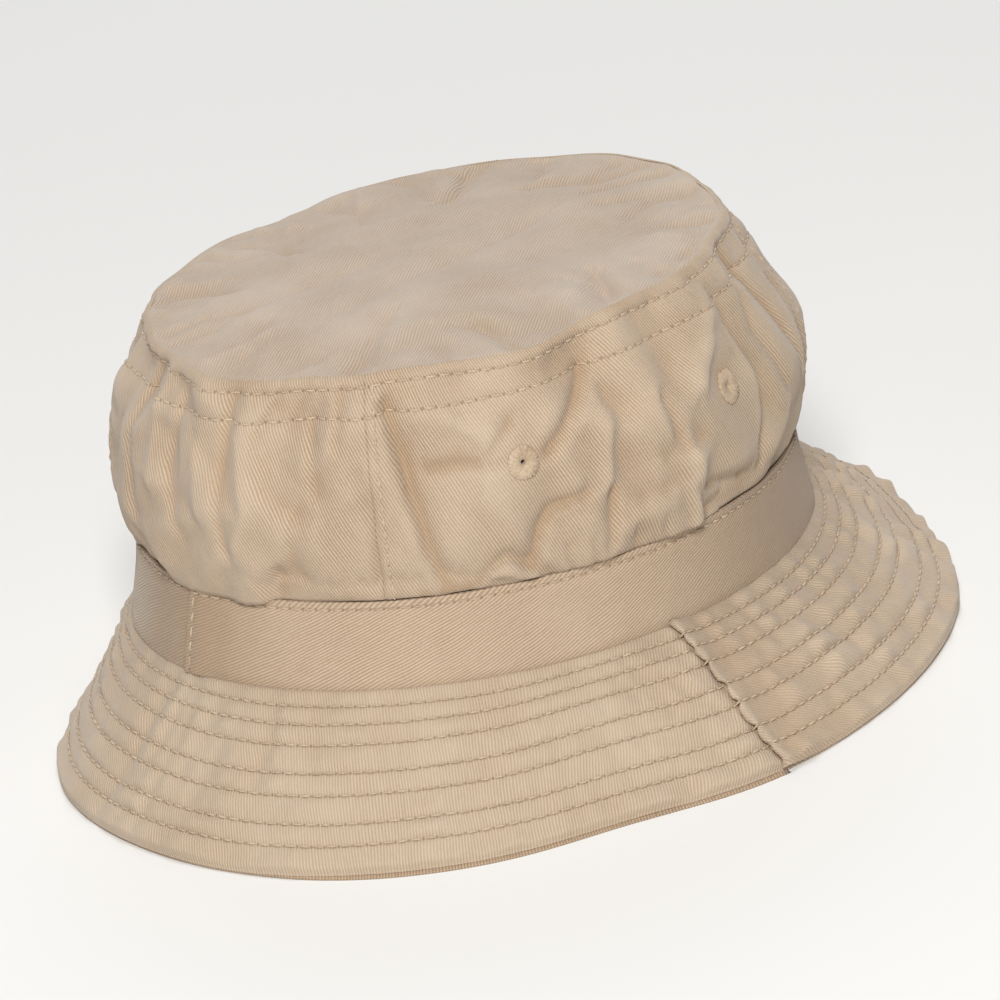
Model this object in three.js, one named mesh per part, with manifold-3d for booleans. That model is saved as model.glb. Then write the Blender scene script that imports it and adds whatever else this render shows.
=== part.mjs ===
// Bucket hat: oval tip, side crown of four panels, hat band and a quilted two-ply brim.
// Millimetres, +Z up, the front of the hat towards -Y and the wearer's right towards -X.
import * as THREE from 'three';
import { mergeVertices } from 'three/addons/utils/BufferGeometryUtils.js';
import Module from 'manifold-3d';

const wasm = await Module();
wasm.setup();

// Base seam: the oval where crown and brim are sewn together. It sits pitched and leaning over the brim edge.
const baseHalfWidth = 85.5;
const baseHalfLength = 103.2;
const baseHeight = 30.7;
const baseSetback = 3.0;
const crownPitch = 0.0447;
const crownLean = 0.0287;

// Crown, measured along its own axis from the base seam.
const crownHeight = 84.5;
const crownBulge = 9.0;
const bulgeSkew = 0.85;
const bandInset = 3.4;
const tipInset = 11.2;
const endTaper = 1.47;
const tipShift = { x: 1.9, y: 2.5 };
const tipTilt = { x: -0.0168, y: -0.0449 };
const tipDome = 3.0;

// Brim, measured at its outer edge, which lies on the floor.
const brimHalfWidth = 124;
const brimHalfLength = 140;
const hemWidth = 3.0;

// Soft waves that pull the brim's edge in or let it out, by a share of its radius, round an angle in degrees.
const brimWaves = [
  { at: 44, swell: -0.17, width: 24 },
  { at: 116, swell: 0.022, width: 18 },
  { at: 158, swell: -0.04, width: 13 },
  { at: 246, swell: -0.045, width: 18 },
];
const stitchRows = [0.093, 0.19, 0.30, 0.453, 0.575, 0.731, 0.849];

// Strips
const bandHeight = 21.9;
const bandStitchInset = 1.3;
const sweatbandHeight = 29;
const sweatbandDrop = 1.5;
const tapeWidth = 11;
const tipStitchDrop = 3.0;
const tipTapeDrop = 12.0;
const seamStitchOffset = 2.5;

// Cloth and the clearances between its layers
const twill = 1.0;
const brimPly = 0.6;
const interliningPly = 0.5;
const tapePly = 0.6;
const labelPly = 0.5;
const thread = 0.5;
const layerGap = 0.4;
const plyGap = 0.3;
const threadGap = 0.3;
const seamGap = 0.3;

// Clearance behind a piece whose corners fall between the facets of the ring it lies on
const facetGap = 0.8;

// Eyelets: one pair on each side, sewn round a hole in the cloth.
const eyeletOuter = 4.6;
const eyeletBarrel = 1.9;
const eyeletBore = 1.3;
const eyeletGap = 0.3;
const eyeletLevel = 55;
const eyeletSpacing = 73;
const eyeletSides = 12;

// Labels, all blank, at the centre back
const brandLabel = { width: 44, height: 17, level: 5 };
const careLabel = { width: 30, height: 22 };
const sizeLabel = { width: 15, height: 14 };
const labelSpacing = 6;

// Facets round every ring, the same for all pieces so that their layers stay parallel.
const columns = 72;
const stepAngle = (2 * Math.PI) / columns;
const quarter = columns / 4;

// Steps from the middle of a side to the seams of its panel, which is longer than the front and back ones
const sideReach = 10;

// Depths of the crown's layers, inwards from the hat band's face
const panelOuter = -(twill + layerGap);
const panelInner = panelOuter - twill;
const sweatbandOuter = panelInner - layerGap;
const sweatbandInner = sweatbandOuter - twill;
const tapeOuter = panelInner - facetGap;
const tapeInner = tapeOuter - tapePly;
const labelOuter = sweatbandInner - facetGap;
const labelInner = labelOuter - labelPly;

// Heights of the brim's layers, upwards from its underside
const liningBottom = brimPly + plyGap;
const liningTop = liningBottom + interliningPly;
const upperBottom = liningTop + plyGap;
const upperTop = upperBottom + brimPly;

function cloth(colour, roughness = 0.92) {
  return new THREE.MeshStandardMaterial({ color: colour, roughness, metalness: 0 });
}

const materials = {
  twill: cloth('#c4ad94'),
  underside: cloth('#b39b82'),
  interlining: cloth('#e4ddd0'),
  tape: cloth('#bda58b'),
  sweatband: cloth('#c9b59d'),
  thread: cloth('#cdb99f', 0.7),
  label: cloth('#eeeae0', 0.75),
};

const hat = new THREE.Group();
const crown = new THREE.Group();
crown.position.set(0, baseSetback, baseHeight);
crown.rotation.set(crownPitch, crownLean, 0);
crown.updateMatrix();
hat.add(crown);

function spread(from, to, count) {
  return Array.from({ length: count + 1 }, (_, i) => from + ((to - from) * i) / count);
}

// Grid angles from one step to another, drawn in at both ends by half a seam gap.
function gridAngles(fromStep, toStep) {
  const half = seamGap / 2 / baseHalfWidth;
  const angles = spread(fromStep, toStep, toStep - fromStep).map((step) => step * stepAngle);
  angles[0] += half;
  angles[angles.length - 1] -= half;
  return angles;
}

// A point on the crown: height up its axis, and offset outwards from the hat band's face.
function wallPoint(angle, height, offset) {
  const rise = Math.max(0, (height - bandHeight) / (crownHeight - bandHeight));
  const inset = (bandInset * Math.min(height, bandHeight)) / bandHeight + (tipInset - bandInset) * rise;
  const bulge = crownBulge * Math.sin(Math.PI * rise ** bulgeSkew);
  const halfWidth = baseHalfWidth - inset + bulge;
  const halfLength = baseHalfLength - endTaper * inset + bulge;
  const normal = new THREE.Vector2(Math.cos(angle) / halfWidth, Math.sin(angle) / halfLength).normalize();
  const x = halfWidth * Math.cos(angle) + offset * normal.x + tipShift.x * rise;
  const y = halfLength * Math.sin(angle) + offset * normal.y + tipShift.y * rise;
  return new THREE.Vector3(x, y, height + rise * (tipTilt.x * x + tipTilt.y * y));
}

// The sweatband follows the wall up to the band's top edge and stands straight above it.
function sweatbandPoint(angle, height, offset) {
  const point = wallPoint(angle, Math.min(height, bandHeight), offset);
  point.z += Math.max(0, height - bandHeight);
  return point;
}

// The brim's outer edge on the floor: an oval with its waves.
function brimEdge(angle) {
  let share = 1;
  for (const wave of brimWaves) {
    const away = Math.atan2(Math.sin(angle - THREE.MathUtils.degToRad(wave.at)),
      Math.cos(angle - THREE.MathUtils.degToRad(wave.at)));
    share += wave.swell * Math.exp(-((THREE.MathUtils.radToDeg(away) / wave.width) ** 2));
  }
  return new THREE.Vector3(brimHalfWidth * share * Math.cos(angle), brimHalfLength * share * Math.sin(angle), 0);
}

// A point on the brim: level 0 at the outer edge and 1 at the base seam, offset up from the underside.
function brimPoint(angle, level, offset) {
  const inner = wallPoint(angle, -upperTop, panelInner).applyMatrix4(crown.matrix);
  const outer = brimEdge(angle);
  const run = Math.hypot(inner.x - outer.x, inner.y - outer.y);
  const slope = Math.hypot(run, inner.z);
  const up = new THREE.Vector3(
    ((outer.x - inner.x) / run) * (inner.z / slope), ((outer.y - inner.y) / run) * (inner.z / slope), run / slope);
  return outer.lerp(inner, level).addScaledVector(up, offset);
}

// The underside has a level hem along the outer edge, which is what the hat stands on.
function underPoint(angle, level, offset) {
  const point = brimPoint(angle, level, offset);
  if (offset === 0 && level <= hemLevel) point.z = 0;
  return point;
}

function moveVertices(geometry, place) {
  geometry.deleteAttribute('uv');
  geometry.deleteAttribute('normal');
  const position = geometry.attributes.position;
  const vertex = new THREE.Vector3();
  for (let i = 0; i < position.count; i += 1) {
    vertex.fromBufferAttribute(position, i);
    position.setXYZ(i, ...place(vertex));
  }
  const merged = mergeVertices(geometry);
  merged.computeVertexNormals();
  return merged;
}

// A sheet of even thickness, bent round the hat between lists of angles and levels.
function bentSheet(angles, levels, inner, outer, place) {
  const rows = levels.length - 1;
  const box = new THREE.BoxGeometry(1, 1, 1, angles.length - 1, rows, 1);
  return moveVertices(box, (vertex) => {
    const angle = angles[Math.round((vertex.x + 0.5) * (angles.length - 1))];
    const level = levels[Math.round((vertex.y + 0.5) * rows)];
    return place(angle, level, vertex.z > 0 ? outer : inner);
  });
}

// A closed ring whose section is a list of [offset, level] corners, anticlockwise.
function closedRing(corners, place) {
  const axisDistance = 1000;
  const section = [...corners, corners[0]].map(([offset, level]) => new THREE.Vector2(axisDistance + offset, level));
  return moveVertices(new THREE.LatheGeometry(section, columns), (vertex) => {
    const offset = Math.hypot(vertex.x, vertex.z) - axisDistance;
    return place(Math.atan2(vertex.x, vertex.z), vertex.y, offset);
  });
}

// Thread section: a low ridge, sideways width along the level axis.
function threadSection(offset, level, halfLevel, side = 1) {
  const foot = offset + side * threadGap;
  const crest = foot + side * thread;
  return side > 0
    ? [[foot, level - halfLevel], [crest, level], [foot, level + halfLevel]]
    : [[foot, level + halfLevel], [crest, level], [foot, level - halfLevel]];
}

function toSolid(geometry) {
  return new wasm.Manifold(new wasm.Mesh({
    numProp: 3,
    vertProperties: Float32Array.from(geometry.attributes.position.array),
    triVerts: Uint32Array.from(geometry.index.array),
  }));
}

function toGeometry(solid) {
  const mesh = solid.getMesh();
  const geometry = new THREE.BufferGeometry();
  geometry.setAttribute('position', new THREE.BufferAttribute(mesh.vertProperties, 3));
  geometry.setIndex(new THREE.BufferAttribute(mesh.triVerts, 1));
  geometry.computeVertexNormals();
  return geometry;
}

function addMesh(parent, name, geometry, material) {
  const mesh = new THREE.Mesh(geometry, material);
  mesh.name = name;
  parent.add(mesh);
  return mesh;
}

// Share of the brim's slope that the hem takes, at its narrowest
const hemLevel = hemWidth / Math.hypot(brimHalfWidth - baseHalfWidth, baseHeight);

// Where an eyelet sits: its centre on the panel's face, and the turn that lays it flat there.
function eyeletPlace(centreStep, along) {
  const angle = centreStep * stepAngle + along / baseHalfLength;
  const centre = wallPoint(angle, eyeletLevel, panelOuter);
  const sideways = wallPoint(angle + 0.01, eyeletLevel, panelOuter).sub(centre);
  const upwards = wallPoint(angle, eyeletLevel + 1, panelOuter).sub(centre);
  const outwards = sideways.clone().cross(upwards).normalize();
  const turn = new THREE.Quaternion().setFromUnitVectors(new THREE.Vector3(0, 1, 0), outwards);
  return { centre, turn };
}

const eyelets = [];
for (const [side, centreStep] of [['left', 0], ['right', 2 * quarter]]) {
  const forwards = side === 'left' ? -1 : 1;
  eyelets.push({ name: `eyelet_${side}_front`, side, ...eyeletPlace(centreStep, (forwards * eyeletSpacing) / 2) });
  eyelets.push({ name: `eyelet_${side}_back`, side, ...eyeletPlace(centreStep, (-forwards * eyeletSpacing) / 2) });
}

// Side crown: four panels, counted from the left side round the back. The side ones are pierced for eyelets.
function addSideCrown() {
  const levels = [...spread(0, bandHeight, 2), ...spread(bandHeight, crownHeight, 8).slice(1)];
  const seams = [-sideReach, sideReach, 2 * quarter - sideReach, 2 * quarter + sideReach, columns - sideReach];
  for (const [i, side] of ['left', 'back', 'right', 'front'].entries()) {
    const angles = gridAngles(seams[i], seams[i + 1]);
    let panel = bentSheet(angles, levels, panelInner, panelOuter, wallPoint);
    for (const eyelet of eyelets.filter((one) => one.side === side)) {
      const drill = new THREE.CylinderGeometry(
        eyeletBarrel + eyeletGap, eyeletBarrel + eyeletGap, 8 * twill, eyeletSides);
      drill.applyQuaternion(eyelet.turn).translate(...eyelet.centre);
      panel = toGeometry(toSolid(panel).subtract(toSolid(moveVertices(drill, (vertex) => vertex))));
    }
    addMesh(crown, `side_crown_${side}`, panel, materials.twill);
  }
}

// Embroidered eyelet: a flat ring of satin stitches outside, drawn through the hole as a barrel.
function addEyelets() {
  const face = eyeletGap + thread;
  const back = -twill - eyeletGap;
  const section = [[eyeletBore, back], [eyeletBarrel, back], [eyeletBarrel, eyeletGap],
    [eyeletOuter, eyeletGap], [eyeletOuter, face], [eyeletBore, face], [eyeletBore, back]];
  for (const eyelet of eyelets) {
    const ring = new THREE.LatheGeometry(section.map(([x, y]) => new THREE.Vector2(x, y)), eyeletSides);
    const mesh = addMesh(crown, eyelet.name, moveVertices(ring, (vertex) => vertex), materials.thread);
    mesh.position.copy(eyelet.centre);
    mesh.quaternion.copy(eyelet.turn);
  }
}

// Tapes that cover the raw side seams inside, and the seam's own row of stitches outside.
function addSideSeams() {
  const corners = {
    front_left: -sideReach,
    back_left: sideReach,
    back_right: 2 * quarter - sideReach,
    front_right: 2 * quarter + sideReach,
  };
  const tapeLevels = spread(sweatbandHeight - sweatbandDrop + layerGap, crownHeight - tipTapeDrop - 2 * thread, 6);
  const seamLevels = spread(bandHeight + thread, crownHeight - tipTapeDrop - 2 * thread, 6);
  for (const [corner, step] of Object.entries(corners)) {
    const seam = step * stepAngle;
    const halfTape = tapeWidth / 2 / baseHalfLength;
    const tapeAngles = [seam - halfTape, seam, seam + halfTape];
    const tape = bentSheet(tapeAngles, tapeLevels, tapeInner, tapeOuter, wallPoint);
    addMesh(crown, `seam_tape_${corner}`, tape, materials.tape);
    const start = seam + seamStitchOffset / baseHalfLength;
    const stitchAngles = [start, start + thread / baseHalfLength];
    const foot = panelOuter + threadGap;
    const stitch = bentSheet(stitchAngles, seamLevels, foot, foot + thread, wallPoint);
    addMesh(crown, `seam_stitch_${corner}`, stitch, materials.thread);
  }
}

// Tip: the flat oval panel on top, a little domed, just inside the side crown's top edge.
function addTip() {
  const rings = [0, 0.35, 0.7, 1];
  const section = [...rings.map((share) => new THREE.Vector2(share, 0)),
    ...rings.toReversed().map((share) => new THREE.Vector2(share, twill))];
  const centre = wallPoint(0, crownHeight, 0).lerp(wallPoint(Math.PI, crownHeight, 0), 0.5);
  const tip = moveVertices(new THREE.LatheGeometry(section, columns), (vertex) => {
    const share = Math.hypot(vertex.x, vertex.z);
    const edge = wallPoint(Math.atan2(vertex.x, vertex.z), crownHeight, panelInner - seamGap);
    const point = centre.clone().lerp(edge, share);
    point.z += tipDome * (1 - share ** 2) + vertex.y - twill;
    return point;
  });
  addMesh(crown, 'crown_tip', tip, materials.twill);
}

// The tape inside the tip seam, and the two rows of stitches that hold it.
function addTipSeam() {
  const tapeTop = crownHeight - tipStitchDrop + 2 * thread;
  const tapeBottom = crownHeight - tipTapeDrop - thread;
  const section = [[tapeInner, tapeBottom], [tapeOuter, tapeBottom], [tapeOuter, tapeTop], [tapeInner, tapeTop]];
  addMesh(crown, 'tip_seam_tape', closedRing(section, wallPoint), materials.tape);
  for (const [name, drop] of [['tip_topstitch', tipStitchDrop], ['tip_tape_stitch', tipTapeDrop]]) {
    const row = threadSection(panelOuter, crownHeight - drop, thread / 2);
    addMesh(crown, name, closedRing(row, wallPoint), materials.thread);
  }
}

// Strips that run once round the head and close with a join at the centre back.
function addStrips() {
  const onceRound = gridAngles(quarter, quarter + columns);
  const band = bentSheet(onceRound, [0, bandHeight / 2, bandHeight], -twill, 0, wallPoint);
  addMesh(crown, 'hat_band', band, materials.twill);
  const sweatLevels = [-sweatbandDrop, bandHeight, sweatbandHeight - sweatbandDrop];
  const sweatband = bentSheet(onceRound, sweatLevels, sweatbandInner, sweatbandOuter, sweatbandPoint);
  addMesh(crown, 'sweatband', sweatband, materials.sweatband);
  const bandRow = threadSection(0, bandHeight - bandStitchInset, thread / 2);
  addMesh(crown, 'band_top_stitch', closedRing(bandRow, wallPoint), materials.thread);
  const sweatRow = threadSection(sweatbandInner, thread, thread / 2, -1);
  addMesh(crown, 'sweatband_stitch', closedRing(sweatRow, wallPoint), materials.thread);
  const join = quarter * stepAngle + seamStitchOffset / baseHalfLength;
  const joinLevels = [2 * seamGap, bandHeight - bandStitchInset - thread];
  const joinAngles = [join, join + thread / baseHalfLength];
  const joinStitch = bentSheet(joinAngles, joinLevels, threadGap, threadGap + thread, wallPoint);
  addMesh(crown, 'band_join_stitch', joinStitch, materials.thread);
}

// Brim: an upper and an under ply, each of two halves with seams at the sides, over a ring of interlining.
function addBrim() {
  const halves = { back: [0, 2 * quarter], front: [2 * quarter, 4 * quarter] };
  const levels = spread(0, 1, 4);
  const underLevels = [0, hemLevel, ...spread(hemLevel, 1, 4).slice(1)];
  for (const [side, [from, to]] of Object.entries(halves)) {
    const upper = bentSheet(gridAngles(from, to), levels, upperBottom, upperTop, brimPoint);
    addMesh(hat, `upper_brim_${side}`, upper, materials.twill);
    const under = bentSheet(gridAngles(from, to), underLevels, 0, brimPly, underPoint);
    addMesh(hat, `under_brim_${side}`, under, materials.underside);
  }
  const section = [2 * hemLevel, ...levels.slice(1)].map((level) => [liningTop, level]);
  const lining = [...section, ...section.toReversed().map(([, level]) => [liningBottom, level])];
  addMesh(hat, 'brim_interlining', closedRing(lining, brimPoint), materials.interlining);
}

// Rows of stitches that quilt the brim, counted outwards from the base seam.
function addBrimStitches() {
  const halfLevel = (thread / 2) * (hemLevel / hemWidth);
  stitchRows.forEach((row, i) => {
    const ring = closedRing(threadSection(upperTop, 1 - row, halfLevel), brimPoint);
    addMesh(hat, `brim_stitch_${i + 1}`, ring, materials.thread);
  });
}

// The brand label is sewn flat inside the sweatband, all round its edge.
function addBrandLabel() {
  const half = brandLabel.width / 2 / baseHalfWidth;
  const middle = quarter * stepAngle;
  const levels = [brandLabel.level, brandLabel.level + brandLabel.height];
  const label = bentSheet(spread(middle - half, middle + half, 6), levels, labelInner, labelOuter, wallPoint);
  addMesh(crown, 'brand_label', label, materials.label);
}

// Care and size labels are caught in the sweatband's lower seam by their top edge and hang free.
function addHangingLabels() {
  const hingeGap = layerGap + thread + threadGap;
  const beside = (careLabel.width + sizeLabel.width) / 2 + labelSpacing;
  for (const [name, size, x] of [['care_label', careLabel, 0], ['size_label', sizeLabel, beside]]) {
    const reach = Math.asin((x + size.width / 2) / (baseHalfWidth + sweatbandInner - hingeGap));
    const top = wallPoint(quarter * stepAngle - reach, -sweatbandDrop, sweatbandInner - hingeGap);
    top.applyMatrix4(crown.matrix);
    const mesh = addMesh(hat, name, new THREE.BoxGeometry(size.width, labelPly, size.height), materials.label);
    mesh.position.set(x, top.y, top.z - layerGap - size.height / 2);
  }
}

addSideCrown();
addEyelets();
addSideSeams();
addTip();
addTipSeam();
addStrips();
addBrim();
addBrimStitches();
addBrandLabel();
addHangingLabels();

export default hat;
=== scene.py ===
# Bucket hat in washed cotton twill, made in millimetres and handed to Blender in metres.
# The front of the hat faces -Y and the wearer's right is -X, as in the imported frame.
import math
import bpy
import numpy as np
from mathutils import Matrix, Vector


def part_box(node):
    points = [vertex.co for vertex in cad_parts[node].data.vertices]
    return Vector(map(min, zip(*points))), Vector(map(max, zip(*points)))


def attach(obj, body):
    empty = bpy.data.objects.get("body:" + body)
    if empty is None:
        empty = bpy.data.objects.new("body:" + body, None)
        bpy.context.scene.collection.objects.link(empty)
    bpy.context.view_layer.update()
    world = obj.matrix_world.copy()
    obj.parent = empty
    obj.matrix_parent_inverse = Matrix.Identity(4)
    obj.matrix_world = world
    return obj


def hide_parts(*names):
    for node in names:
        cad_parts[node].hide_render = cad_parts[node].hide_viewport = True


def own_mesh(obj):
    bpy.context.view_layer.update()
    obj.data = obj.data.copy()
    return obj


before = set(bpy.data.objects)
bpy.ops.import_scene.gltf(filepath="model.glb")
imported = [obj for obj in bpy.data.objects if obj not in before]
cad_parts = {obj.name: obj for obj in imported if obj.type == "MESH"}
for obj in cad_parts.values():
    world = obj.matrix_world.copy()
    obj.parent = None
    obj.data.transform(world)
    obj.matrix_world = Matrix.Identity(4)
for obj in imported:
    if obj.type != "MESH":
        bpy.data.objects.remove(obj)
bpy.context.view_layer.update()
print("frame loaded with", len(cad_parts), "nodes")

# the camera, before anything else is made
cameraSetup = {
    "place": (-0.9803, 0.7726, 0.6131), "aim": (-0.0337, 0.0195, 0.060), "roll": -6.98, "lens": 176.58,
}


def makeCamera():
    data = bpy.data.cameras.new("viewCamera")
    data.lens = cameraSetup["lens"]
    data.sensor_width = 36
    data.clip_end = 20
    camera = bpy.data.objects.new("viewCamera", data)
    bpy.context.scene.collection.objects.link(camera)
    place = Vector(cameraSetup["place"])
    back = place - Vector(cameraSetup["aim"])
    turn = back.to_track_quat("Z", "Y").to_matrix().to_4x4()
    roll = Matrix.Rotation(math.radians(cameraSetup["roll"]), 4, "Z")
    camera.matrix_world = Matrix.Translation(place) @ turn @ roll
    bpy.context.scene.camera = camera


makeCamera()

# the hat's own shape in mm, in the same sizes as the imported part
crown = {
    "halfWidth": 85.5, "halfLength": 103.2, "baseHeight": 30.7, "setback": 3.0, "pitch": 0.0447,
    "lean": 0.0287, "height": 84.5, "bulge": 9.0, "bulgeSkew": 0.85, "bandInset": 3.4, "tipInset": 11.2,
    "endTaper": 1.47, "tipShift": (1.9, 2.5), "tipTilt": (-0.0168, -0.0449), "tipDome": 3.0, "bandHeight": 21.9,
}
ply = {  # where each cloth's faces lie, measured outwards from the wall's own surface
    "panelOuter": -1.4, "panelInner": -2.4, "sweatOuter": -2.8, "sweatInner": -3.8, "tapeOuter": -3.1,
    "tapeInner": -3.7,
}
brim = {
    "halfWidth": 124.0, "halfLength": 140.0, "top": 2.3, "ply": 0.6,
    "waves": ((44, -0.17, 24), (116, 0.022, 18), (158, -0.04, 13), (246, -0.045, 18)),
    "rows": (0.093, 0.19, 0.30, 0.453, 0.575, 0.731, 0.849),
}
turn = 2 * math.pi
tipNormal = np.array([0.045437, 0.00021, 0.998967])


def smooth(x):
    x = np.clip(x, 0, 1)
    return x * x * (3 - 2 * x)


def bump(x, middle, width):
    return np.exp(-(((x - middle) / width) ** 2))


def awayFrom(angle, at):
    # degrees from an angle given in degrees, the short way round
    return np.degrees(np.arctan2(np.sin(angle - math.radians(at)), np.cos(angle - math.radians(at))))


def crownToHat(points):
    # the crown leans a little on the sweatband's seam
    cp, sp = math.cos(crown["pitch"]), math.sin(crown["pitch"])
    cl, sl = math.cos(crown["lean"]), math.sin(crown["lean"])
    pitch = np.array([[1, 0, 0], [0, cp, -sp], [0, sp, cp]])
    lean = np.array([[cl, 0, sl], [0, 1, 0], [-sl, 0, cl]])
    return points @ (pitch @ lean).T + np.array([0, crown["setback"], crown["baseHeight"]])


def wallPoint(angle, height, offset):
    angle, height, offset = np.broadcast_arrays(angle, height, offset)
    rise = np.maximum(0, (height - crown["bandHeight"]) / (crown["height"] - crown["bandHeight"]))
    inset = crown["bandInset"] * np.minimum(height, crown["bandHeight"]) / crown["bandHeight"]
    inset = inset + (crown["tipInset"] - crown["bandInset"]) * rise
    out = crown["bulge"] * np.sin(math.pi * rise ** crown["bulgeSkew"])
    halfWidth = crown["halfWidth"] - inset + out
    halfLength = crown["halfLength"] - crown["endTaper"] * inset + out
    nx, ny = np.cos(angle) / halfWidth, np.sin(angle) / halfLength
    size = np.hypot(nx, ny)
    x = halfWidth * np.cos(angle) + offset * nx / size + crown["tipShift"][0] * rise
    y = halfLength * np.sin(angle) + offset * ny / size + crown["tipShift"][1] * rise
    z = height + rise * (crown["tipTilt"][0] * x + crown["tipTilt"][1] * y)
    return crownToHat(np.stack([x, y, z], -1))


def brimEdge(angle):
    share = 1.0
    for at, swell, width in brim["waves"]:
        share = share + swell * bump(awayFrom(angle, at), 0, width)
    x, y = brim["halfWidth"] * share * np.cos(angle), brim["halfLength"] * share * np.sin(angle)
    return np.stack([x, y, np.zeros_like(x)], -1)


# smooth fields: seeded noise and drawn folds, kept on a grid and read as a cubic spline
def splineWeights(f):
    return (1 - f) ** 3 / 6, (3 * f**3 - 6 * f**2 + 4) / 6, (-3 * f**3 + 3 * f**2 + 3 * f + 1) / 6, f**3 / 6


def readGrid(grid, u, v, wraps=True):
    i, j = np.floor(u).astype(int), np.floor(v).astype(int)
    total = 0
    for a, weightA in enumerate(splineWeights(u - i)):
        across = (i + a - 1) % grid.shape[0] if wraps else np.clip(i + a - 1, 0, grid.shape[0] - 1)
        for b, weightB in enumerate(splineWeights(v - j)):
            weight = weightA * weightB
            value = grid[across, np.clip(j + b - 1, 0, grid.shape[1] - 1)]
            total = total + (value * weight[..., None] if grid.ndim == 3 else value * weight)
    return total


def noiseOver(seed, length, cell, rows, cellRow):
    # a reader of soft noise round a closed length, about -1 to 1
    grid = np.random.default_rng(seed).normal(size=(max(4, round(length / cell)), rows + 4))

    def read(along, across):
        return readGrid(grid, along / length * grid.shape[0], across / cellRow + 1) * 1.3

    return read


def distanceTo(path, x, y):
    # distance to a path, minus on its right-hand side
    nearest = np.full(np.broadcast(x, y).shape, 1e9)
    for (ax, ay), (bx, by) in zip(path, path[1:]):
        dx, dy = bx - ax, by - ay
        t = np.clip(((x - ax) * dx + (y - ay) * dy) / max(dx * dx + dy * dy, 1e-9), 0, 1)
        away = np.hypot(x - ax - t * dx, y - ay - t * dy)
        side = np.where(dx * (y - ay) - dy * (x - ax) < 0, -1.0, 1.0)
        nearest = np.where(away < np.abs(nearest), away * side, nearest)
    return nearest


def foldShape(t):
    # a fairly sharp crease, steeper on one side, with a low shoulder on the other
    crease = 1.25 * np.exp(-1.3 * np.sqrt(t * t + 0.03)) * (1 - 0.42 * t * t * np.exp(-0.18 * t * t))
    return crease + 0.42 * t * np.exp(-0.55 * t * t)


def foldsAt(folds, x, y, narrowed=1.0):
    return sum(depth * foldShape(distanceTo(path, x, y) / (narrowed * width)) for path, depth, width in folds)


def softened(grid, passes):
    for _ in range(passes):
        grid = (np.roll(grid, 1, 0) + 2 * grid + np.roll(grid, -1, 0)) / 4
        padded = np.pad(grid, ((0, 0), (1, 1)), mode="edge")
        grid = (padded[:, :-2] + 2 * padded[:, 1:-1] + padded[:, 2:]) / 4
    return grid


class Oval:
    # lengths along an oval, for anything spaced or drawn in millimetres round the hat
    def __init__(self, halfWidth, halfLength):
        self.halfWidth, self.halfLength = halfWidth, halfLength
        self.angles = np.linspace(0, turn, 3601)
        speed = np.hypot(halfWidth * np.sin(self.angles), halfLength * np.cos(self.angles))
        self.lengths = np.concatenate([[0], np.cumsum((speed[1:] + speed[:-1]) / 2 * np.diff(self.angles))])
        self.around = self.lengths[-1]

    def lengthAt(self, angle):
        laps = np.floor(angle / turn)
        return laps * self.around + np.interp(angle - laps * turn, self.angles, self.lengths)

    def angleAt(self, length):
        laps = np.floor(length / self.around)
        return laps * turn + np.interp(length - laps * self.around, self.lengths, self.angles)


crownOval = Oval(87.0, 101.5)
brimOval = Oval(105.0, 122.0)

# folds of the side crown: paths of (angle in degrees, height), then depth (inwards is minus) and width in mm
crownFolds = [
    ([(134, 76), (135.5, 66), (139, 40), (141, 26)], -2.5, 3.8),
    ([(126, 82), (125, 68)], -1.3, 2.6),
    ([(120, 72), (121, 55)], -1.5, 3.0),
    ([(114, 84), (109, 70)], -1.3, 2.8),
    ([(120, 84), (115, 72)], -0.8, 2.4),
    ([(105, 70), (108, 50), (105, 40)], 1.5, 4.5),
    ([(103, 80), (102, 60), (103, 38)], -1.5, 3.2),
    ([(111, 57), (115, 52)], -1.3, 4.5),
    ([(117, 50), (115, 28)], -1.2, 3.0),
    ([(112.5, 34), (112, 23)], -2.2, 2.2),
    ([(128, 60), (131, 44), (130, 33)], -0.9, 3.0),
    ([(137, 25.5), (142, 24.5), (146, 26.5), (151, 33), (155, 28), (158, 23)], -1.5, 2.4),
    ([(148, 28), (151, 27), (154, 25)], 1.6, 3.0),
    ([(155, 28), (157, 38), (159, 42), (165, 44)], -1.9, 3.0),
    ([(168.5, 29), (170, 42)], -1.5, 2.6),
    ([(160, 39), (164, 40)], -1.0, 4.5),
    ([(175, 38), (179, 38)], -1.2, 4.5),
    ([(141, 58), (146, 58.5), (152, 57)], -1.7, 2.8),
    ([(151, 60), (155, 66)], -1.3, 2.5),
    ([(160, 57), (163, 61), (168, 68), (171, 73)], -2.3, 3.2),
    ([(169, 46), (171, 62)], 1.7, 5.5),
    ([(145, 70), (150, 64), (149, 48)], 0.9, 5.0),
    ([(181.5, 61), (182.5, 50)], -1.9, 3.0),
    ([(180, 47), (186, 47)], -1.2, 4.5),
    ([(185, 26), (185, 44)], 1.8, 7.0),
    ([(184.5, 36), (186, 30), (188, 25)], -1.3, 2.4),
    ([(188, 33), (194, 31), (200, 31)], -1.5, 2.6),
    ([(188, 25), (196, 27), (203, 30)], -1.2, 2.2),
    ([(190, 60), (200, 75)], 1.6, 6.5),
    ([(203, 70), (206, 50), (203, 36)], -1.6, 3.6),
    ([(212, 80), (210, 62), (214, 44)], -1.3, 3.4),
    ([(90, 78), (88, 58), (92, 40)], -1.2, 3.6),
    ([(96, 66), (98, 48)], 1.1, 4.5),
    ([(82, 72), (84, 52)], 1.0, 5.0),
    ([(76, 80), (74, 60), (78, 42)], -1.5, 4.0),
]
gathers = {"at": (113, 117, 121, 124, 127, 130, 133, 136.5, 144, 161, 165, 173, 178, 192, 197),
           "depth": -0.8, "width": 1.7, "foot": 22.5}
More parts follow.
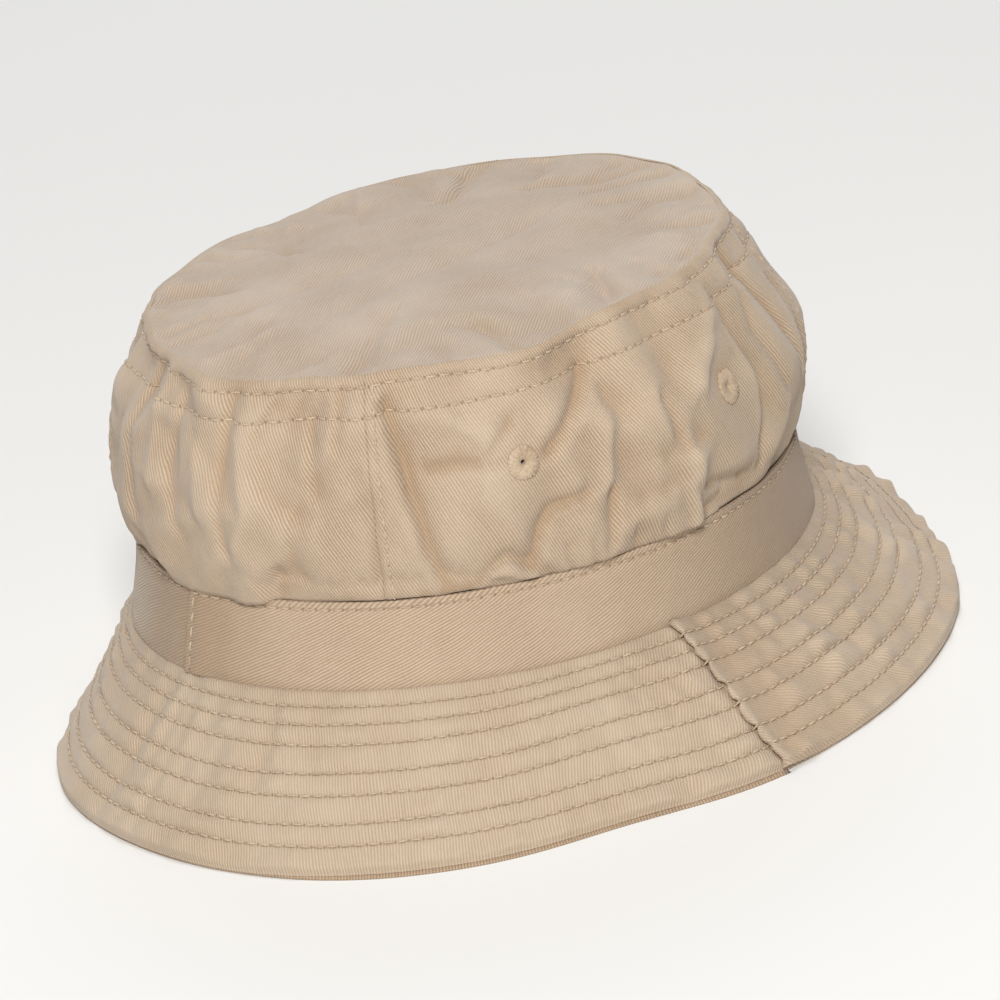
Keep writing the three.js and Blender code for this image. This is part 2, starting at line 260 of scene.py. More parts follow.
looseFolds = {"from": 220, "to": 432, "every": 6.5, "depths": (-1.7, -1.3, -1.0, 1.0, 1.4), "narrowed": 0.66}
looseGathers = {"from": 222, "to": 432, "every": 3.6}
calm = {"at": 102, "width": 22, "share": 0.35}  # the cloth lies calmer at the back of the head
fieldStep = {"angles": 720, "height": 0.8, "low": 8.0, "rows": 100}
rimSway = {"up": 1.35, "out": 1.2}


def looseCrownFolds():
    # drawn at random, for the sides that have no folds of their own in the list
    draw = np.random.default_rng(41)
    folds = []
    for at in np.arange(looseFolds["from"], looseFolds["to"], looseFolds["every"]):
        at = at + draw.uniform(-2.5, 2.5)
        low, lean = draw.uniform(24, 52), draw.uniform(-7, 7)
        high = min(82, low + draw.uniform(14, 38))
        middle = (at + lean * 0.5 + draw.uniform(-1.5, 1.5), (low + high) / 2)
        path = [(at, low), middle, (at + lean, high)]
        folds.append((path, draw.choice(looseFolds["depths"]), draw.uniform(2.6, 5.0)))
    for at in np.arange(looseGathers["from"], looseGathers["to"], looseGathers["every"]):
        at = at + draw.uniform(-1.2, 1.2)
        path = [(at, draw.uniform(27, 33)), (at + 0.5, gathers["foot"])]
        folds.append((path, draw.uniform(-1.0, -0.4), gathers["width"]))
    return folds


def drawCrownField():
    # every fold of the side crown and the crumples between them, in one grid of offsets
    angles = np.linspace(0, turn, fieldStep["angles"], endpoint=False)[:, None]
    heights = (fieldStep["low"] + fieldStep["height"] * np.arange(fieldStep["rows"]))[None, :]
    along = crownOval.lengthAt(angles)
    pulled = [[(at, 31), (at + 0.4, gathers["foot"])] for at in gathers["at"]]
    pulled = [(path, gathers["depth"], gathers["width"]) for path in pulled]
    total = 0
    for path, depth, width in crownFolds + pulled + looseCrownFolds():
        line = [(float(crownOval.lengthAt(math.radians(a))), h) for a, h in path]
        middle = np.mean([p[0] for p in line])
        x = (along - middle + crownOval.around / 2) % crownOval.around - crownOval.around / 2 + middle
        total = total + foldsAt([(line, depth, width)], x, heights, looseFolds["narrowed"])
    total = 1.25 * total * (1 - calm["share"] * bump(awayFrom(angles, calm["at"]), 0, calm["width"]))
    broad = noiseOver(5, crownOval.around, 26, 8, 14)(along, heights)
    crumple = noiseOver(6, crownOval.around, 13, 14, 12)(along, heights)
    sharp = noiseOver(9, crownOval.around, 8.5, 22, 9)(along, heights)
    fine = noiseOver(8, crownOval.around, 6.5, 24, 7)(along, heights)
    return total + 0.9 * broad + 1.5 * (0.35 - np.abs(crumple)) + 0.9 * (np.abs(sharp) - 0.35) + 0.45 * fine


crownField = drawCrownField()
# the cloth's colour takes its painted fold shade from this
crownHollow = softened(crownField, 110) - crownField  # how deep a point lies below its surroundings
seamPucker = noiseOver(7, crownOval.around, 3.4, 30, 3.5)
rimRise = noiseOver(14, crownOval.around, 21, 3, 10)
rimOut = noiseOver(15, crownOval.around, 13, 3, 10)


def rimWave(angle):
    # the seam round the tip isn't level: how far it rises and stands out, in mm
    along = crownOval.lengthAt(angle)
    level = 0 * along + 8
    return rimSway["up"] * rimRise(along, level), rimSway["out"] * rimOut(along, level)


print("side crown folds drawn")

eyeletSpots = [
    {"name": "RightFront", "node": "eyelet_right_front", "angle": 196.5, "height": 55.0, "side": "right"},
    {"name": "RightBack", "node": "eyelet_right_back", "angle": 155.6, "height": 56.5, "side": "right"},
    {"name": "LeftBack", "node": "eyelet_left_back", "angle": 20.3, "height": 55.0, "side": "left"},
    {"name": "LeftFront", "node": "eyelet_left_front", "angle": 339.7, "height": 55.0, "side": "left"},
]
eyelet = {"outer": 4.6, "bore": 0.4, "cut": 2.4, "spokes": 40}
satin = {"stations": (0.0, 0.12, 0.5, 0.9, 0.999), "lifts": (-0.9, 0.25, 0.5, 0.34, -0.35),
         "widths": (0, 0.15, 0.3, 0.42, 0), "sides": 6, "flat": 0.6}
eyeletRing = [  # its section: distance from the middle, and height
    (eyelet["bore"], -1.5), (2.1, -1.5), (2.2, 0.0), (4.2, 0.05), (4.2, 0.34), (3.0, 0.52), (1.7, 0.45),
    (0.75, 0.0),
]
crownRows = {"tip": 81.5, "tape": 74.2, "seamOffset": 2.5}
panelSeams = {"back_left": 50, "back_right": 130.6, "front_right": 230, "front_left": 310}
crownDegree = {"seam": 1.62, "eyelet": 1.72}  # mm round the crown for one degree
overhang = {"from": 78, "to": 113, "out": 2.4, "droop": 2.6}
restOnBand = {"height": 27, "deepest": -0.4}


def readCrown(grid, angle, height):
    u = (angle % turn) / turn * fieldStep["angles"]
    v = (height - fieldStep["low"]) / fieldStep["height"]
    return readGrid(grid, u, v)


simulated = {"grid": None}


def crownPoint(angle, height, offset, puckers=True):
    angle, height, offset = np.broadcast_arrays(angle, height, offset)
    along = crownOval.lengthAt(angle)
    top, foot = crown["height"], crown["bandHeight"]
    free = smooth((height - 20.5) / 4) * smooth((top + 0.5 - height) / 7)
    relief = readCrown(crownField, angle, height) * free
    # what lies on the sweatband's edge can't sink in
    relief = np.maximum(relief, restOnBand["deepest"] - 6 * smooth((height - restOnBand["height"]) / 9))
    relief = relief + 0.6 * bump(height, 23.9, 2.2) * smooth((height - foot) / 0.9)
    for spot in eyeletSpots:
        aside = awayFrom(angle, spot["angle"]) * crownDegree["eyelet"]
        ring = bump(np.hypot(aside, height - spot["height"]), 0, 6.5)
        relief = relief * (1 - 0.85 * ring) - 0.5 * ring
    if puckers:
        near = 0.34 * bump(height, crownRows["tip"], 4.5) + 0.30 * bump(height, crownRows["tape"], 3.0)
        near = near + 0.30 * bump(height, 26, 4)
        relief = relief + near * seamPucker(along, height) * smooth((top - height) / 1.5)
        for row in (crownRows["tip"], crownRows["tape"]):
            relief = relief - 0.38 * bump(height, row, 0.8) + 0.22 * bump(height, row - 3.2, 2.0)
    for at in panelSeams.values():
        aside = awayFrom(angle, at) * crownDegree["seam"]
        relief = relief - 0.22 * bump(aside, 0, 0.5) + 0.25 * bump(aside, 1.8, 1.2)
        relief = relief - 0.3 * bump(aside, crownRows["seamOffset"], 0.6)
    relief = relief - 0.7 * smooth((height - (top - 1.2)) / 1.2)
    # at the back the cloth hangs over the band's edge
    degrees = np.degrees(angle % turn)
    lap = smooth((degrees - overhang["from"]) / 9) * smooth((overhang["to"] - degrees) / 6)
    relief = relief + lap * overhang["out"] * smooth((height - 22.3) / 2.6) * smooth((46 - height) / 20)
    droop = lap * overhang["droop"] * bump(height, 25.0, 2.2)
    rise, out = rimWave(angle)
    nearTip = smooth((height - 60) / 24)
    points = wallPoint(angle, height - droop + rise * nearTip, offset + relief + out * nearTip)
    if simulated["grid"] is not None:
        u = (angle % turn) / turn * simulated["grid"].shape[0]
        v = (height - foot) / (top - foot) * (simulated["grid"].shape[1] - 1)
        held = smooth((height - 22) / 3) * smooth((top - height) / 4)
        points = points + readGrid(simulated["grid"], u, v) * held[..., None]
    return points


def makeMesh(name, points, faceSets, flat=None, uvs=None, marks=None):
    mesh = bpy.data.meshes.new(name)
    corners = np.concatenate([faces.ravel() for faces in faceSets]).astype(np.int32)
    sizes = np.concatenate([np.full(len(faces), faces.shape[1]) for faces in faceSets])
    mesh.vertices.add(len(points))
    mesh.vertices.foreach_set("co", (np.asarray(points) * 0.001).astype(np.float32).ravel())
    mesh.loops.add(len(corners))
    mesh.loops.foreach_set("vertex_index", corners)
    mesh.polygons.add(len(sizes))
    mesh.polygons.foreach_set("loop_start", np.concatenate([[0], np.cumsum(sizes)[:-1]]).astype(np.int32))
    mesh.update(calc_edges=True)
    smoothFace = np.ones(len(sizes), bool)
    if flat is not None:
        smoothFace[flat:] = False
    mesh.polygons.foreach_set("use_smooth", smoothFace)
    for layer, values in (uvs or {}).items():
        mesh.uv_layers.new(name=layer).uv.foreach_set("vector", values[corners].astype(np.float32).ravel())
    for mark, values in (marks or {}).items():
        mesh.attributes.new(mark, "FLOAT", "POINT").data.foreach_set("value", values.astype(np.float32))
    mesh.validate()
    made = bpy.data.objects.new(name, mesh)
    bpy.context.scene.collection.objects.link(made)
    return made


def gridFaces(across, along, closed=False, keep=None):
    i, j = np.meshgrid(np.arange(across if closed else across - 1), np.arange(along - 1), indexing="ij")
    if keep is not None:
        i, j = i[keep], j[keep]
    i, j = i.ravel(), j.ravel()
    nextI = (i + 1) % across
    return np.stack([i * along + j, nextI * along + j, nextI * along + j + 1, i * along + j + 1], 1)


def clothBody(outer, inner, closed=False, keep=None):
    # two faces of a cloth, joined by a narrow wall round every free edge
    across, along = outer.shape[:2]
    front = gridFaces(across, along, closed, keep)
    back = front[:, ::-1] + across * along
    starts, ends = front.ravel(), np.roll(front, -1, 1).ravel()
    count = 2 * across * along
    free = ~np.isin(starts * count + ends, ends * count + starts)
    a, b = starts[free], ends[free]
    wall = np.stack([b, a, a + across * along, b + across * along], 1)
    points = np.concatenate([outer.reshape(-1, 3), inner.reshape(-1, 3)])
    used = np.zeros(len(points), bool)
    faces = np.concatenate([front, back, wall])
    used[faces.ravel()] = True
    renumber = np.cumsum(used) - 1
    return points[used], renumber[faces], len(front) + len(back), used


noNeedle = 9.0  # mm to the nearest stitch on cloth that has none


def clothPiece(name, outer, inner, across, along, closed=False, keep=None, needle=None, hollow=None):
    points, faces, wallStart, used = clothBody(outer, inner, closed, keep)
    needle = np.stack([0 * across, 0 * across + noNeedle], -1) if needle is None else needle
    hollow = 0 * across if hollow is None else hollow
    uvs = {"weave": np.stack([across, along], -1).reshape(-1, 2), "needle": needle.reshape(-1, 2)}
    uvs = {layer: np.concatenate([values, values])[used] for layer, values in uvs.items()}
    hollow = np.concatenate([hollow.ravel()] * 2)[used]
    return makeMesh(name, points, [faces], wallStart, uvs, {"hollow": hollow})


def ruled(low, high, step, lines=(), near=(0,)):
    # even grid lines, with closer ones at the rows and edges that need them
    values = list(np.linspace(low, high, max(2, round((high - low) / step) + 1)))
    special = sorted({round(line + d, 4) for line in lines for d in near if low <= line + d <= high})
    ends = (values[0], values[-1])
    values = [v for v in values if v in ends or all(abs(v - s) > 0.45 * step for s in special)]
    kept = []
    for v in sorted(values + special):
        if not kept or v - kept[-1] > 0.1 * step:
            kept.append(v)
    return np.array(kept)


def weaveAxes(x, y, degrees):
    # distances across and along the twill lines, which run at this angle to x
    c, s = math.cos(math.radians(degrees)), math.sin(math.radians(degrees))
    return -x * s + y * c, x * c + y * s


# stitches: one short capsule of thread each, its ends pulled down into the cloth
stitch = {"pitch": 3.7, "radius": 0.29, "stations": (0, 0.16, 0.5, 0.84, 1), "widths": (0, 0.86, 1, 0.86, 0),
          "lifts": (-0.42, 0.12, 0.3, 0.12, -0.42), "sides": 6, "flat": 0.8, "gap": 0.10}


def stitchEdges(place, start, end, pitch=stitch["pitch"]):
    # the needle holes of a row, and the count of stitches along it
    t = np.linspace(start, end, 1500)
    steps = np.linalg.norm(np.diff(place(t, 0.0), axis=0), axis=1)
    run = np.concatenate([[0], np.cumsum(steps)])
    count = max(1, round(run[-1] / pitch))
    return np.interp(np.arange(count + 1) / count * run[-1], run, t), (t, run / run[-1] * count)


def strands(rings, normal, thick, section, slant):
    # a closed body of thread for each place in the rings, drawn to a point at both ends
    tangent = rings[-1] - rings[0]
    side = np.cross(normal, tangent)
    side /= np.linalg.norm(side, axis=1)[:, None]
    normal = np.cross(tangent, side)
    normal /= np.linalg.norm(normal, axis=1)[:, None]
    sides = section["sides"]
    phase = (np.arange(sides) / sides * turn)[None, :, None]
    around = side[:, None] * np.cos(phase) + normal[:, None] * np.sin(phase) * section["flat"]
    parts = []
    for ring, station, width in zip(rings, section["stations"], section["widths"]):
        centre = (ring + side * slant * (2 * station - 1))[:, None]
        parts.append(centre + around * (thick * width)[:, None, None] if width else centre)
    points = np.concatenate(parts, 1)
    count, per = points.shape[:2]
    k = np.arange(sides)
    first, second = 1 + k, 1 + (k + 1) % sides
    quads = [np.stack([first, second, second + sides, first + sides], 1) + r * sides for r in range(2)]
    caps = [np.stack([0 * k, second, first], 1)]
    caps.append(np.stack([0 * k + per - 1, first + 2 * sides, second + 2 * sides], 1))
    base = (np.arange(count) * per)[:, None, None]
    quads, caps = base + np.concatenate(quads), base + np.concatenate(caps)
    return points.reshape(-1, 3), quads.reshape(-1, 4), caps.reshape(-1, 3)


def threadBodies(place, edges, seed, radius=stitch["radius"], gap=stitch["gap"]):
    # a row of stitches between the needle holes at the edges; place gives a point and how far it is lifted
    draw = np.random.default_rng(seed)
    count = len(edges) - 1
    span = edges[1:] - edges[:-1]
    begin = edges[:-1] + span * (gap + draw.uniform(-0.03, 0.03, count))
    finish = edges[1:] - span * (gap + draw.uniform(-0.03, 0.03, count))
    thick = radius * draw.uniform(0.9, 1.1, count)
    stations = zip(stitch["stations"], stitch["lifts"])
    rings = [place(begin + (finish - begin) * at, lift) for at, lift in stations]
    middle = begin + (finish - begin) * 0.5
    slant = draw.uniform(-0.10, 0.10, count)[:, None]
    return strands(rings, place(middle, 1.0) - place(middle, 0.0), thick, stitch, slant)


def threadPiece(name, bodies):
    points, quads, tris, start = [], [], [], 0
    for p, q, t in bodies:
        points.append(p)
        quads.append(q + start)
        tris.append(t + start)
        start += len(p)
    return makeMesh(name, np.concatenate(points), [np.concatenate(quads), np.concatenate(tris)])


def needleMarks(rows, along, distance):
    # stitch count along the nearest row, and distance from it
    nearest = np.argmin(np.abs(distance), 0)
    counts = np.stack([np.interp(along, t, n) for t, n in rows])
    pick = lambda stack: np.take_along_axis(stack, nearest[None], 0)[0]
    return np.stack([pick(counts), pick(np.abs(distance))], -1)


# the side crown's cloth is simulated once on a coarse ring and settles into buckles between its two seams
settle = {"around": 168, "rows": 19, "grow": -0.045, "frames": 22, "most": 3.2, "scale": 10, "stiffness": 15,
          "shear": 5, "bending": 0.15, "air": 2.0, "mass": 0.3, "quality": 6}


def settledRing(points):
    # the ring's points in mm after the short simulation, with its first and last rows held
    ring = makeMesh("settling", points, [gridFaces(settle["around"], settle["rows"], closed=True)])
    ring.scale = [settle["scale"]] * 3
    pins = ring.vertex_groups.new(name="pins")
    row = np.tile(np.arange(settle["rows"]), settle["around"])
    pins.add([int(i) for i in np.flatnonzero((row < 1) | (row > settle["rows"] - 2))], 1.0, "REPLACE")
    cloth = ring.modifiers.new("cloth", "CLOTH").settings
    cloth.vertex_group_mass = "pins"
    cloth.shrink_min = settle["grow"]
    cloth.effector_weights.gravity = 0
    cloth.quality = settle["quality"]
    cloth.mass = settle["mass"]
    cloth.tension_stiffness = cloth.compression_stiffness = settle["stiffness"]
    cloth.shear_stiffness = settle["shear"]
    cloth.bending_stiffness = settle["bending"]
    cloth.air_damping = settle["air"]
    scene = bpy.context.scene
    for number in range(1, settle["frames"] + 1):
        scene.frame_set(number)
    done = ring.evaluated_get(bpy.context.evaluated_depsgraph_get())
    after = np.empty(len(points) * 3, np.float32)
    done.data.vertices.foreach_get("co", after)
    scene.frame_set(1)
    bpy.data.objects.remove(ring)
    return after.reshape(-1, 3) * 1000.0


def settleSideCrown():
    angles = crownOval.angleAt(np.arange(settle["around"]) / settle["around"] * crownOval.around)
    heights = np.linspace(crown["bandHeight"], crown["height"], settle["rows"])
    points = crownPoint(angles[:, None], heights[None, :], ply["panelOuter"], puckers=False).reshape(-1, 3)
    moved = settledRing(points) - points
    size = np.linalg.norm(moved, axis=1)[:, None]
    moved = moved * np.minimum(1, settle["most"] / np.maximum(size, 1e-6))
    print(f"side crown settled: moved {size.mean():.2f} mm on average, {size.max():.2f} at most")
    # the buckles stay and the even swelling of the whole ring is taken out
    grid = moved.reshape(settle["around"], settle["rows"], 3)
    x, y = np.cos(angles) / crownOval.halfWidth, np.sin(angles) / crownOval.halfLength
    outwards = (np.stack([x, y, 0 * x], -1) / np.hypot(x, y)[:, None])[:, None, :]
    grid = grid - (grid * outwards).sum(-1, keepdims=True).mean(0, keepdims=True) * outwards
    # crownPoint reads the grid by angle, so it is laid out evenly in angle
    even = np.linspace(0, turn, settle["around"], endpoint=False)
    u = crownOval.lengthAt(even) / crownOval.around * settle["around"]
    low, part = np.floor(u).astype(int), (u - np.floor(u))[:, None, None]
    return grid[low % settle["around"]] * (1 - part) + grid[(low + 1) % settle["around"]] * part


simulated["grid"] = settleSideCrown()

# each piece waits in this list with its CAD nodes, slot, material and body; at the end it gets its material and
# body, and its CAD nodes are hidden
made = []


def addPiece(piece, nodes, slot, material, body="hat", crush=False):
    made.append((piece, nodes, slot, material, body, crush))


def addStitches(name, nodes, bodies, material="thread", crush=False):
    addPiece(threadPiece(name, bodies), nodes, "thread", material, crush=crush)


def inCamel(words):
    return "".join(word.capitalize() for word in words.split("_"))


# side crown: four panels, pierced for the eyelets
sideCloth = {"step": 1.0, "low": 5.0, "wale": 117, "panels": {
    "left": ("front_left", "back_left"), "back": ("back_left", "back_right"),
    "right": ("back_right", "front_right"), "front": ("front_right", "front_left")}}


def crownRowPlace(height, level=ply["panelOuter"], facing=1):
    # places on a level row, lifted off the cloth's face (1) or its back (-1)
    return lambda t, up: crownPoint(t, np.full_like(t, height), level + facing * up)


def seamRowPlace(at, offset, level=ply["panelOuter"], facing=1):
    angle = math.radians(at + offset / crownDegree["seam"])
    return lambda t, up: crownPoint(np.full_like(t, angle), t, level + facing * up)


def pierceForEyelet(along, height, spot, lowAt):
    # leaves out the grid's cells in the hole and draws the points round it onto its rim
    middle = float(crownOval.lengthAt(math.radians(spot["angle"])))
    if middle < lowAt:
        middle += crownOval.around
    cut, margin = eyelet["cut"], 0.35
    reach = np.hypot(along - middle, height - spot["height"])
    inside = reach < cut + margin
    pierced = inside[:-1, :-1] | inside[1:, :-1] | inside[:-1, 1:] | inside[1:, 1:]
    rim = (reach < cut + 2.0) & (reach > 0.1)
    pull = (cut + (reach - cut - margin) * 0.75) / np.maximum(reach, 0.1)
    along = np.where(rim, middle + (along - middle) * pull, along)
    height = np.where(rim, spot["height"] + (height - spot["height"]) * pull, height)
    return along, height, ~pierced


def makeSideCrown():
    rowHeights = [crownRows["tip"], crownRows["tape"]]
    rows = [stitchEdges(crownRowPlace(height), 0, turn) for height in rowHeights]
    for side, (first, last) in sideCloth["panels"].items():
        start, end = panelSeams[first], panelSeams[last]
        lowAt, highAt = crownOval.lengthAt(np.radians([start, end + 360 if end < start else end]))
        step, top = sideCloth["step"], crown["height"]
        lines = ruled(lowAt, highAt, step, (lowAt, highAt), (0, 0.35, 0.8, 1.4, -0.35, -0.8, -1.4))
        heights = ruled(sideCloth["low"], top, step, (*rowHeights, top, 23.5), (-1.1, -0.5, 0, 0.5, 1.1))
        along, height = np.meshgrid(lines, heights, indexing="ij")
        keep = np.ones((len(lines) - 1, len(heights) - 1), bool)
        for spot in eyeletSpots:
            if spot["side"] == side:
                along, height, whole = pierceForEyelet(along, height, spot, lowAt)
                keep &= whole
        angle = crownOval.angleAt(along)
        # behind the band the foot leans in, so that it stays there when the crown is pressed flat
        lean = (1.25 + 0.8 * np.sin(angle) ** 2) / (crown["bandHeight"] - sideCloth["low"])
        sunk = lean * np.maximum(0, crown["bandHeight"] - height)
        outer = crownPoint(angle, height, ply["panelOuter"] - sunk)
        inner = crownPoint(angle, height, ply["panelInner"] + 0.15 - 0.7 * sunk)
        rowGaps = np.stack([height - at for at in rowHeights])
        counts = needleMarks([counted for _, counted in rows], angle % turn, rowGaps)
        seamAway = [awayFrom(angle, at) * crownDegree["seam"] for at in panelSeams.values()]
        for away in seamAway:
            fromRow = np.abs(away - crownRows["seamOffset"])
            closer = (fromRow < 1.4) & (counts[..., 1] > 1.0)
            counts = np.where(closer[..., None], np.stack([height / stitch["pitch"], fromRow], -1), counts)
        # painted shade: darker in the folds' hollows, along the panel seams and at the seam round the tip
        hollow = readCrown(crownHollow, angle, height) * smooth((height - 21) / 4)
        hollow = hollow + 0.3 * bump(np.min(np.abs(seamAway), axis=0), 0, 0.7)
        hollow = hollow + 0.5 * bump(height, crown["height"], 1.2)
        across, wale = weaveAxes(along, height, sideCloth["wale"])
        piece = clothPiece("sideCrown" + inCamel(side), outer, inner, across, wale, keep=keep, needle=counts,
                           hollow=hollow)
        addPiece(piece, ["side_crown_" + side], "twill", "crownTwill", crush=True)
    return [edges for edges, _ in rows]


# rows of stitches on the crown, with the thread's other side on the tapes inside
def makeCrownStitches(tipEdges, tapeEdges):
    rows = (("tip", "tip_topstitch", tipEdges, 61), ("tape", "tip_tape_stitch", tapeEdges, 62))
    for name, node, edges, seed in rows:
        outside = threadBodies(crownRowPlace(crownRows[name]), edges, seed)
        inside = threadBodies(crownRowPlace(crownRows[name], ply["tapeInner"], -1), edges, seed + 10)
        addStitches(name + "RowStitches", [node], [outside, inside], crush=True)
    for number, (seam, at) in enumerate(panelSeams.items()):
        bodies = []
        for offset in (crownRows["seamOffset"], -crownRows["seamOffset"]):
            edges = stitchEdges(seamRowPlace(at, offset), 22.5, crown["height"] - 1.5)[0]
            if offset > 0:
                bodies.append(threadBodies(seamRowPlace(at, offset), edges, 70 + number))
            within = seamRowPlace(at, offset, ply["tapeInner"], -1)
            bodies.append(threadBodies(within, edges[edges < crownRows["tape"] - 0.2], 75 + number))
        addStitches("seamStitches" + inCamel(seam), ["seam_stitch_" + seam], bodies, crush=True)


# eyelets: satin stitches laid out from a small hole, with a low ring of thread under them
def makeEyelets():
    count = eyelet["spokes"]
    around = np.linspace(0, turn, 40, endpoint=False)
    for number, spot in enumerate(eyeletSpots):
        middle = float(crownOval.lengthAt(math.radians(spot["angle"])))
        draw = np.random.default_rng(90 + number)

        def at(reach, phase, up):
            angle = crownOval.angleAt(middle + reach * np.cos(phase))
            return crownPoint(angle, spot["height"] + reach * np.sin(phase), ply["panelOuter"] + up)

        phases = np.linspace(0, turn, count, endpoint=False) + draw.uniform(-0.05, 0.05, count)
        outerEnd = eyelet["outer"] + draw.uniform(-0.25, 0.15, count)
        innerEnd = eyelet["bore"] + 0.2
        spoke = lambda share, up: at(innerEnd + (outerEnd - innerEnd) * share, phases, up)
        rings = [spoke(share, lift) for share, lift in zip(satin["stations"], satin["lifts"])]
        radial = strands(rings, spoke(0.5, 1.6) - rings[2], np.ones(count), satin, 0.0)
        ring = np.stack([at(np.full_like(around, reach), around, up) for reach, up in eyeletRing], 1)
        steps, sides = ring.shape[:2]
        i, j = (index.ravel() for index in np.meshgrid(np.arange(steps), np.arange(sides), indexing="ij"))
        i2, j2 = (i + 1) % steps, (j + 1) % sides
        quads = np.stack([i * sides + j, i2 * sides + j, i2 * sides + j2, i * sides + j2], -1)
        body = (ring.reshape(-1, 3), quads, np.zeros((0, 3), int))
        addStitches("eyelet" + spot["name"], [spot["node"]], [radial, body], "eyeletThread", crush=True)


# tip: an oval of cloth, a little domed, with a few long soft creases: paths in mm across and along the hat
tipCloth = {"rings": 78, "around": 420, "wale": -56, "thick": 0.6, "halfWidth": 72, "halfLength": 87,
            "out": 0.7}
tipFolds = [
    ([(-10, 42), (-5, 12), (0, -38)], -0.9, 5.0),
    ([(20, 52), (14, 30), (12, 10)], -0.7, 4.5),
    ([(-62, -6), (-54, -12), (-45, -17)], -1.7, 4.0),
    ([(-58, -38), (-54, -46), (-48, -52)], -1.5, 4.0),
    ([(-52, -2), (-48, -9)], 0.9, 4.0),
    ([(-40, 58), (-30, 50), (-24, 38)], -1.1, 4.0),
    ([(-58, 22), (-48, 24), (-40, 30)], -0.9, 4.0),
    ([(30, 74), (28, 62), (20, 54)], -1.2, 4.0),
    ([(52, 52), (44, 46), (36, 44)], -1.2, 4.0),
    ([(66, 20), (56, 16), (44, 18)], -1.2, 4.5),
    ([(64, -12), (52, -14), (42, -8)], -1.0, 4.0),
    ([(50, -52), (42, -44), (38, -34)], -1.3, 4.0),
    ([(16, -80), (14, -66), (20, -54)], -1.2, 4.0),
    ([(-20, -78), (-16, -64), (-20, -52)], -1.0, 4.0),
    ([(4, 78), (2, 66), (6, 56)], -0.9, 3.5),
    ([(-30, -10), (-20, 4), (-18, 20)], 0.5, 7.0),
    ([(34, -20), (38, 4), (32, 24)], 0.6, 8.0),
]


def rimCreases():
    # short creases that run in from the seam
    draw = np.random.default_rng(19)
    creases = []
    for at in np.arange(6, 366, 13.0):
        aim = math.radians(at + draw.uniform(-4, 4))
        reachIn, bend = draw.uniform(0.62, 0.84), draw.uniform(-0.14, 0.14)
        path = []
        for share, bent in ((0.99, 0), (0.9, bend / 3), (reachIn, bend)):
            x, y = tipCloth["halfWidth"] * math.cos(aim + bent), tipCloth["halfLength"] * math.sin(aim + bent)
            path.append((share * x, share * y))
        creases.append((path, draw.choice([-1.1, -0.8, -0.6, 0.7]), draw.uniform(2.4, 4.0)))
    return creases


tipFolds = tipFolds + rimCreases()
tipBroad = noiseOver(11, 400, 30, 14, 30)
tipFine = noiseOver(12, 400, 11, 36, 11)
tipCrumple = noiseOver(16, 400, 22, 20, 22)
tipEdgePucker = noiseOver(13, crownOval.around, 5.0, 6, 5)


def tipPoint(angle, share, offset):
    angle, share, offset = np.broadcast_arrays(angle, share, offset)
    top, level = crown["height"], ply["panelInner"] + tipCloth["out"]
    edge = wallPoint(angle, top, level)
    rise, out = rimWave(angle)
    waved = wallPoint(angle, top + rise, level + out)
    centre = (wallPoint(0.0, top, 0.0) + wallPoint(math.pi, top, 0.0)) / 2
    points = centre + (edge - centre) * share[..., None] + (waved - edge) * (share**4)[..., None]
    x, y = points[..., 0], points[..., 1] - crown["setback"]
    noiseAt = (x + 200, y + 200)  # clear of the noise grids' own edges
    relief = 1.45 * foldsAt(tipFolds, x, y) + 1.1 * tipBroad(*noiseAt) + 0.4 * tipFine(*noiseAt)
    relief = relief + 0.9 * (0.35 - np.abs(tipCrumple(*noiseAt)))
    reach = (1 - share) * 78  # mm in from the seam
    relief = relief + 0.75 * tipEdgePucker(crownOval.lengthAt(angle), reach) * bump(reach, 3, 8)
    lift = crown["tipDome"] * (1 - share**2) + relief * smooth(reach / 5) - 0.75 * smooth((1.3 - reach) / 1.3)
    return points + (lift + offset)[..., None] * tipNormal


def makeTip():
    nearRim = [0.952, 0.963, 0.973, 0.981, 0.987, 0.992, 0.996, 1.0]
    shares = np.concatenate([np.linspace(0.004, 0.94, tipCloth["rings"]), nearRim])[::-1]
    angles = np.linspace(0, turn, tipCloth["around"], endpoint=False)
    angle, share = np.meshgrid(angles, shares, indexing="ij")
    levels = (0.0, -tipCloth["thick"])
    outer, inner = (tipPoint(angle, share, level) for level in levels)
    # the small hole left at the middle of each face is closed with a fan, in place of the wall there
    points, faces, wallStart, _ = clothBody(outer, inner, closed=True)
    count, rings = angle.shape
    last = np.arange(count) * rings + rings - 1
    fans, poles = [], []
    for side, level in enumerate(levels):
        a, b = side * count * rings + last, side * count * rings + np.roll(last, -1)
        pole = np.full(count, len(points) + side)
        poles.append(tipPoint(0.0, 0.0, level).reshape(3))
        fans.append(np.stack([b, a, pole] if side else [a, b, pole], 1))
    roundMiddle = np.isin(faces, np.concatenate([last, last + count * rings])).all(1)
    faces = faces[~(roundMiddle & (np.arange(len(faces)) >= wallStart))]
    local = outer - outer.mean((0, 1))
    weave = np.stack(weaveAxes(local[..., 0], local[..., 1], tipCloth["wale"]), -1).reshape(-1, 2)
    middle = weave[last].mean(0)
    weave = np.concatenate([weave, weave, [middle, middle]])
    needle = np.tile([0.0, noNeedle], (len(weave), 1))
    # painted shade: the tip's colour darkens where it lies below its surroundings
    sunken = (softened(outer[..., 2], 60) - outer[..., 2]).ravel()
    hollow = np.clip(np.concatenate([sunken, sunken, [0, 0]]), -1, 1)
    piece = makeMesh("crownTip", np.concatenate([points, poles]), [faces, np.concatenate(fans)], None,
                     {"weave": weave, "needle": needle}, {"hollow": hollow})
    addPiece(piece, ["crown_tip"], "twill", "tipTwill", body="tip")


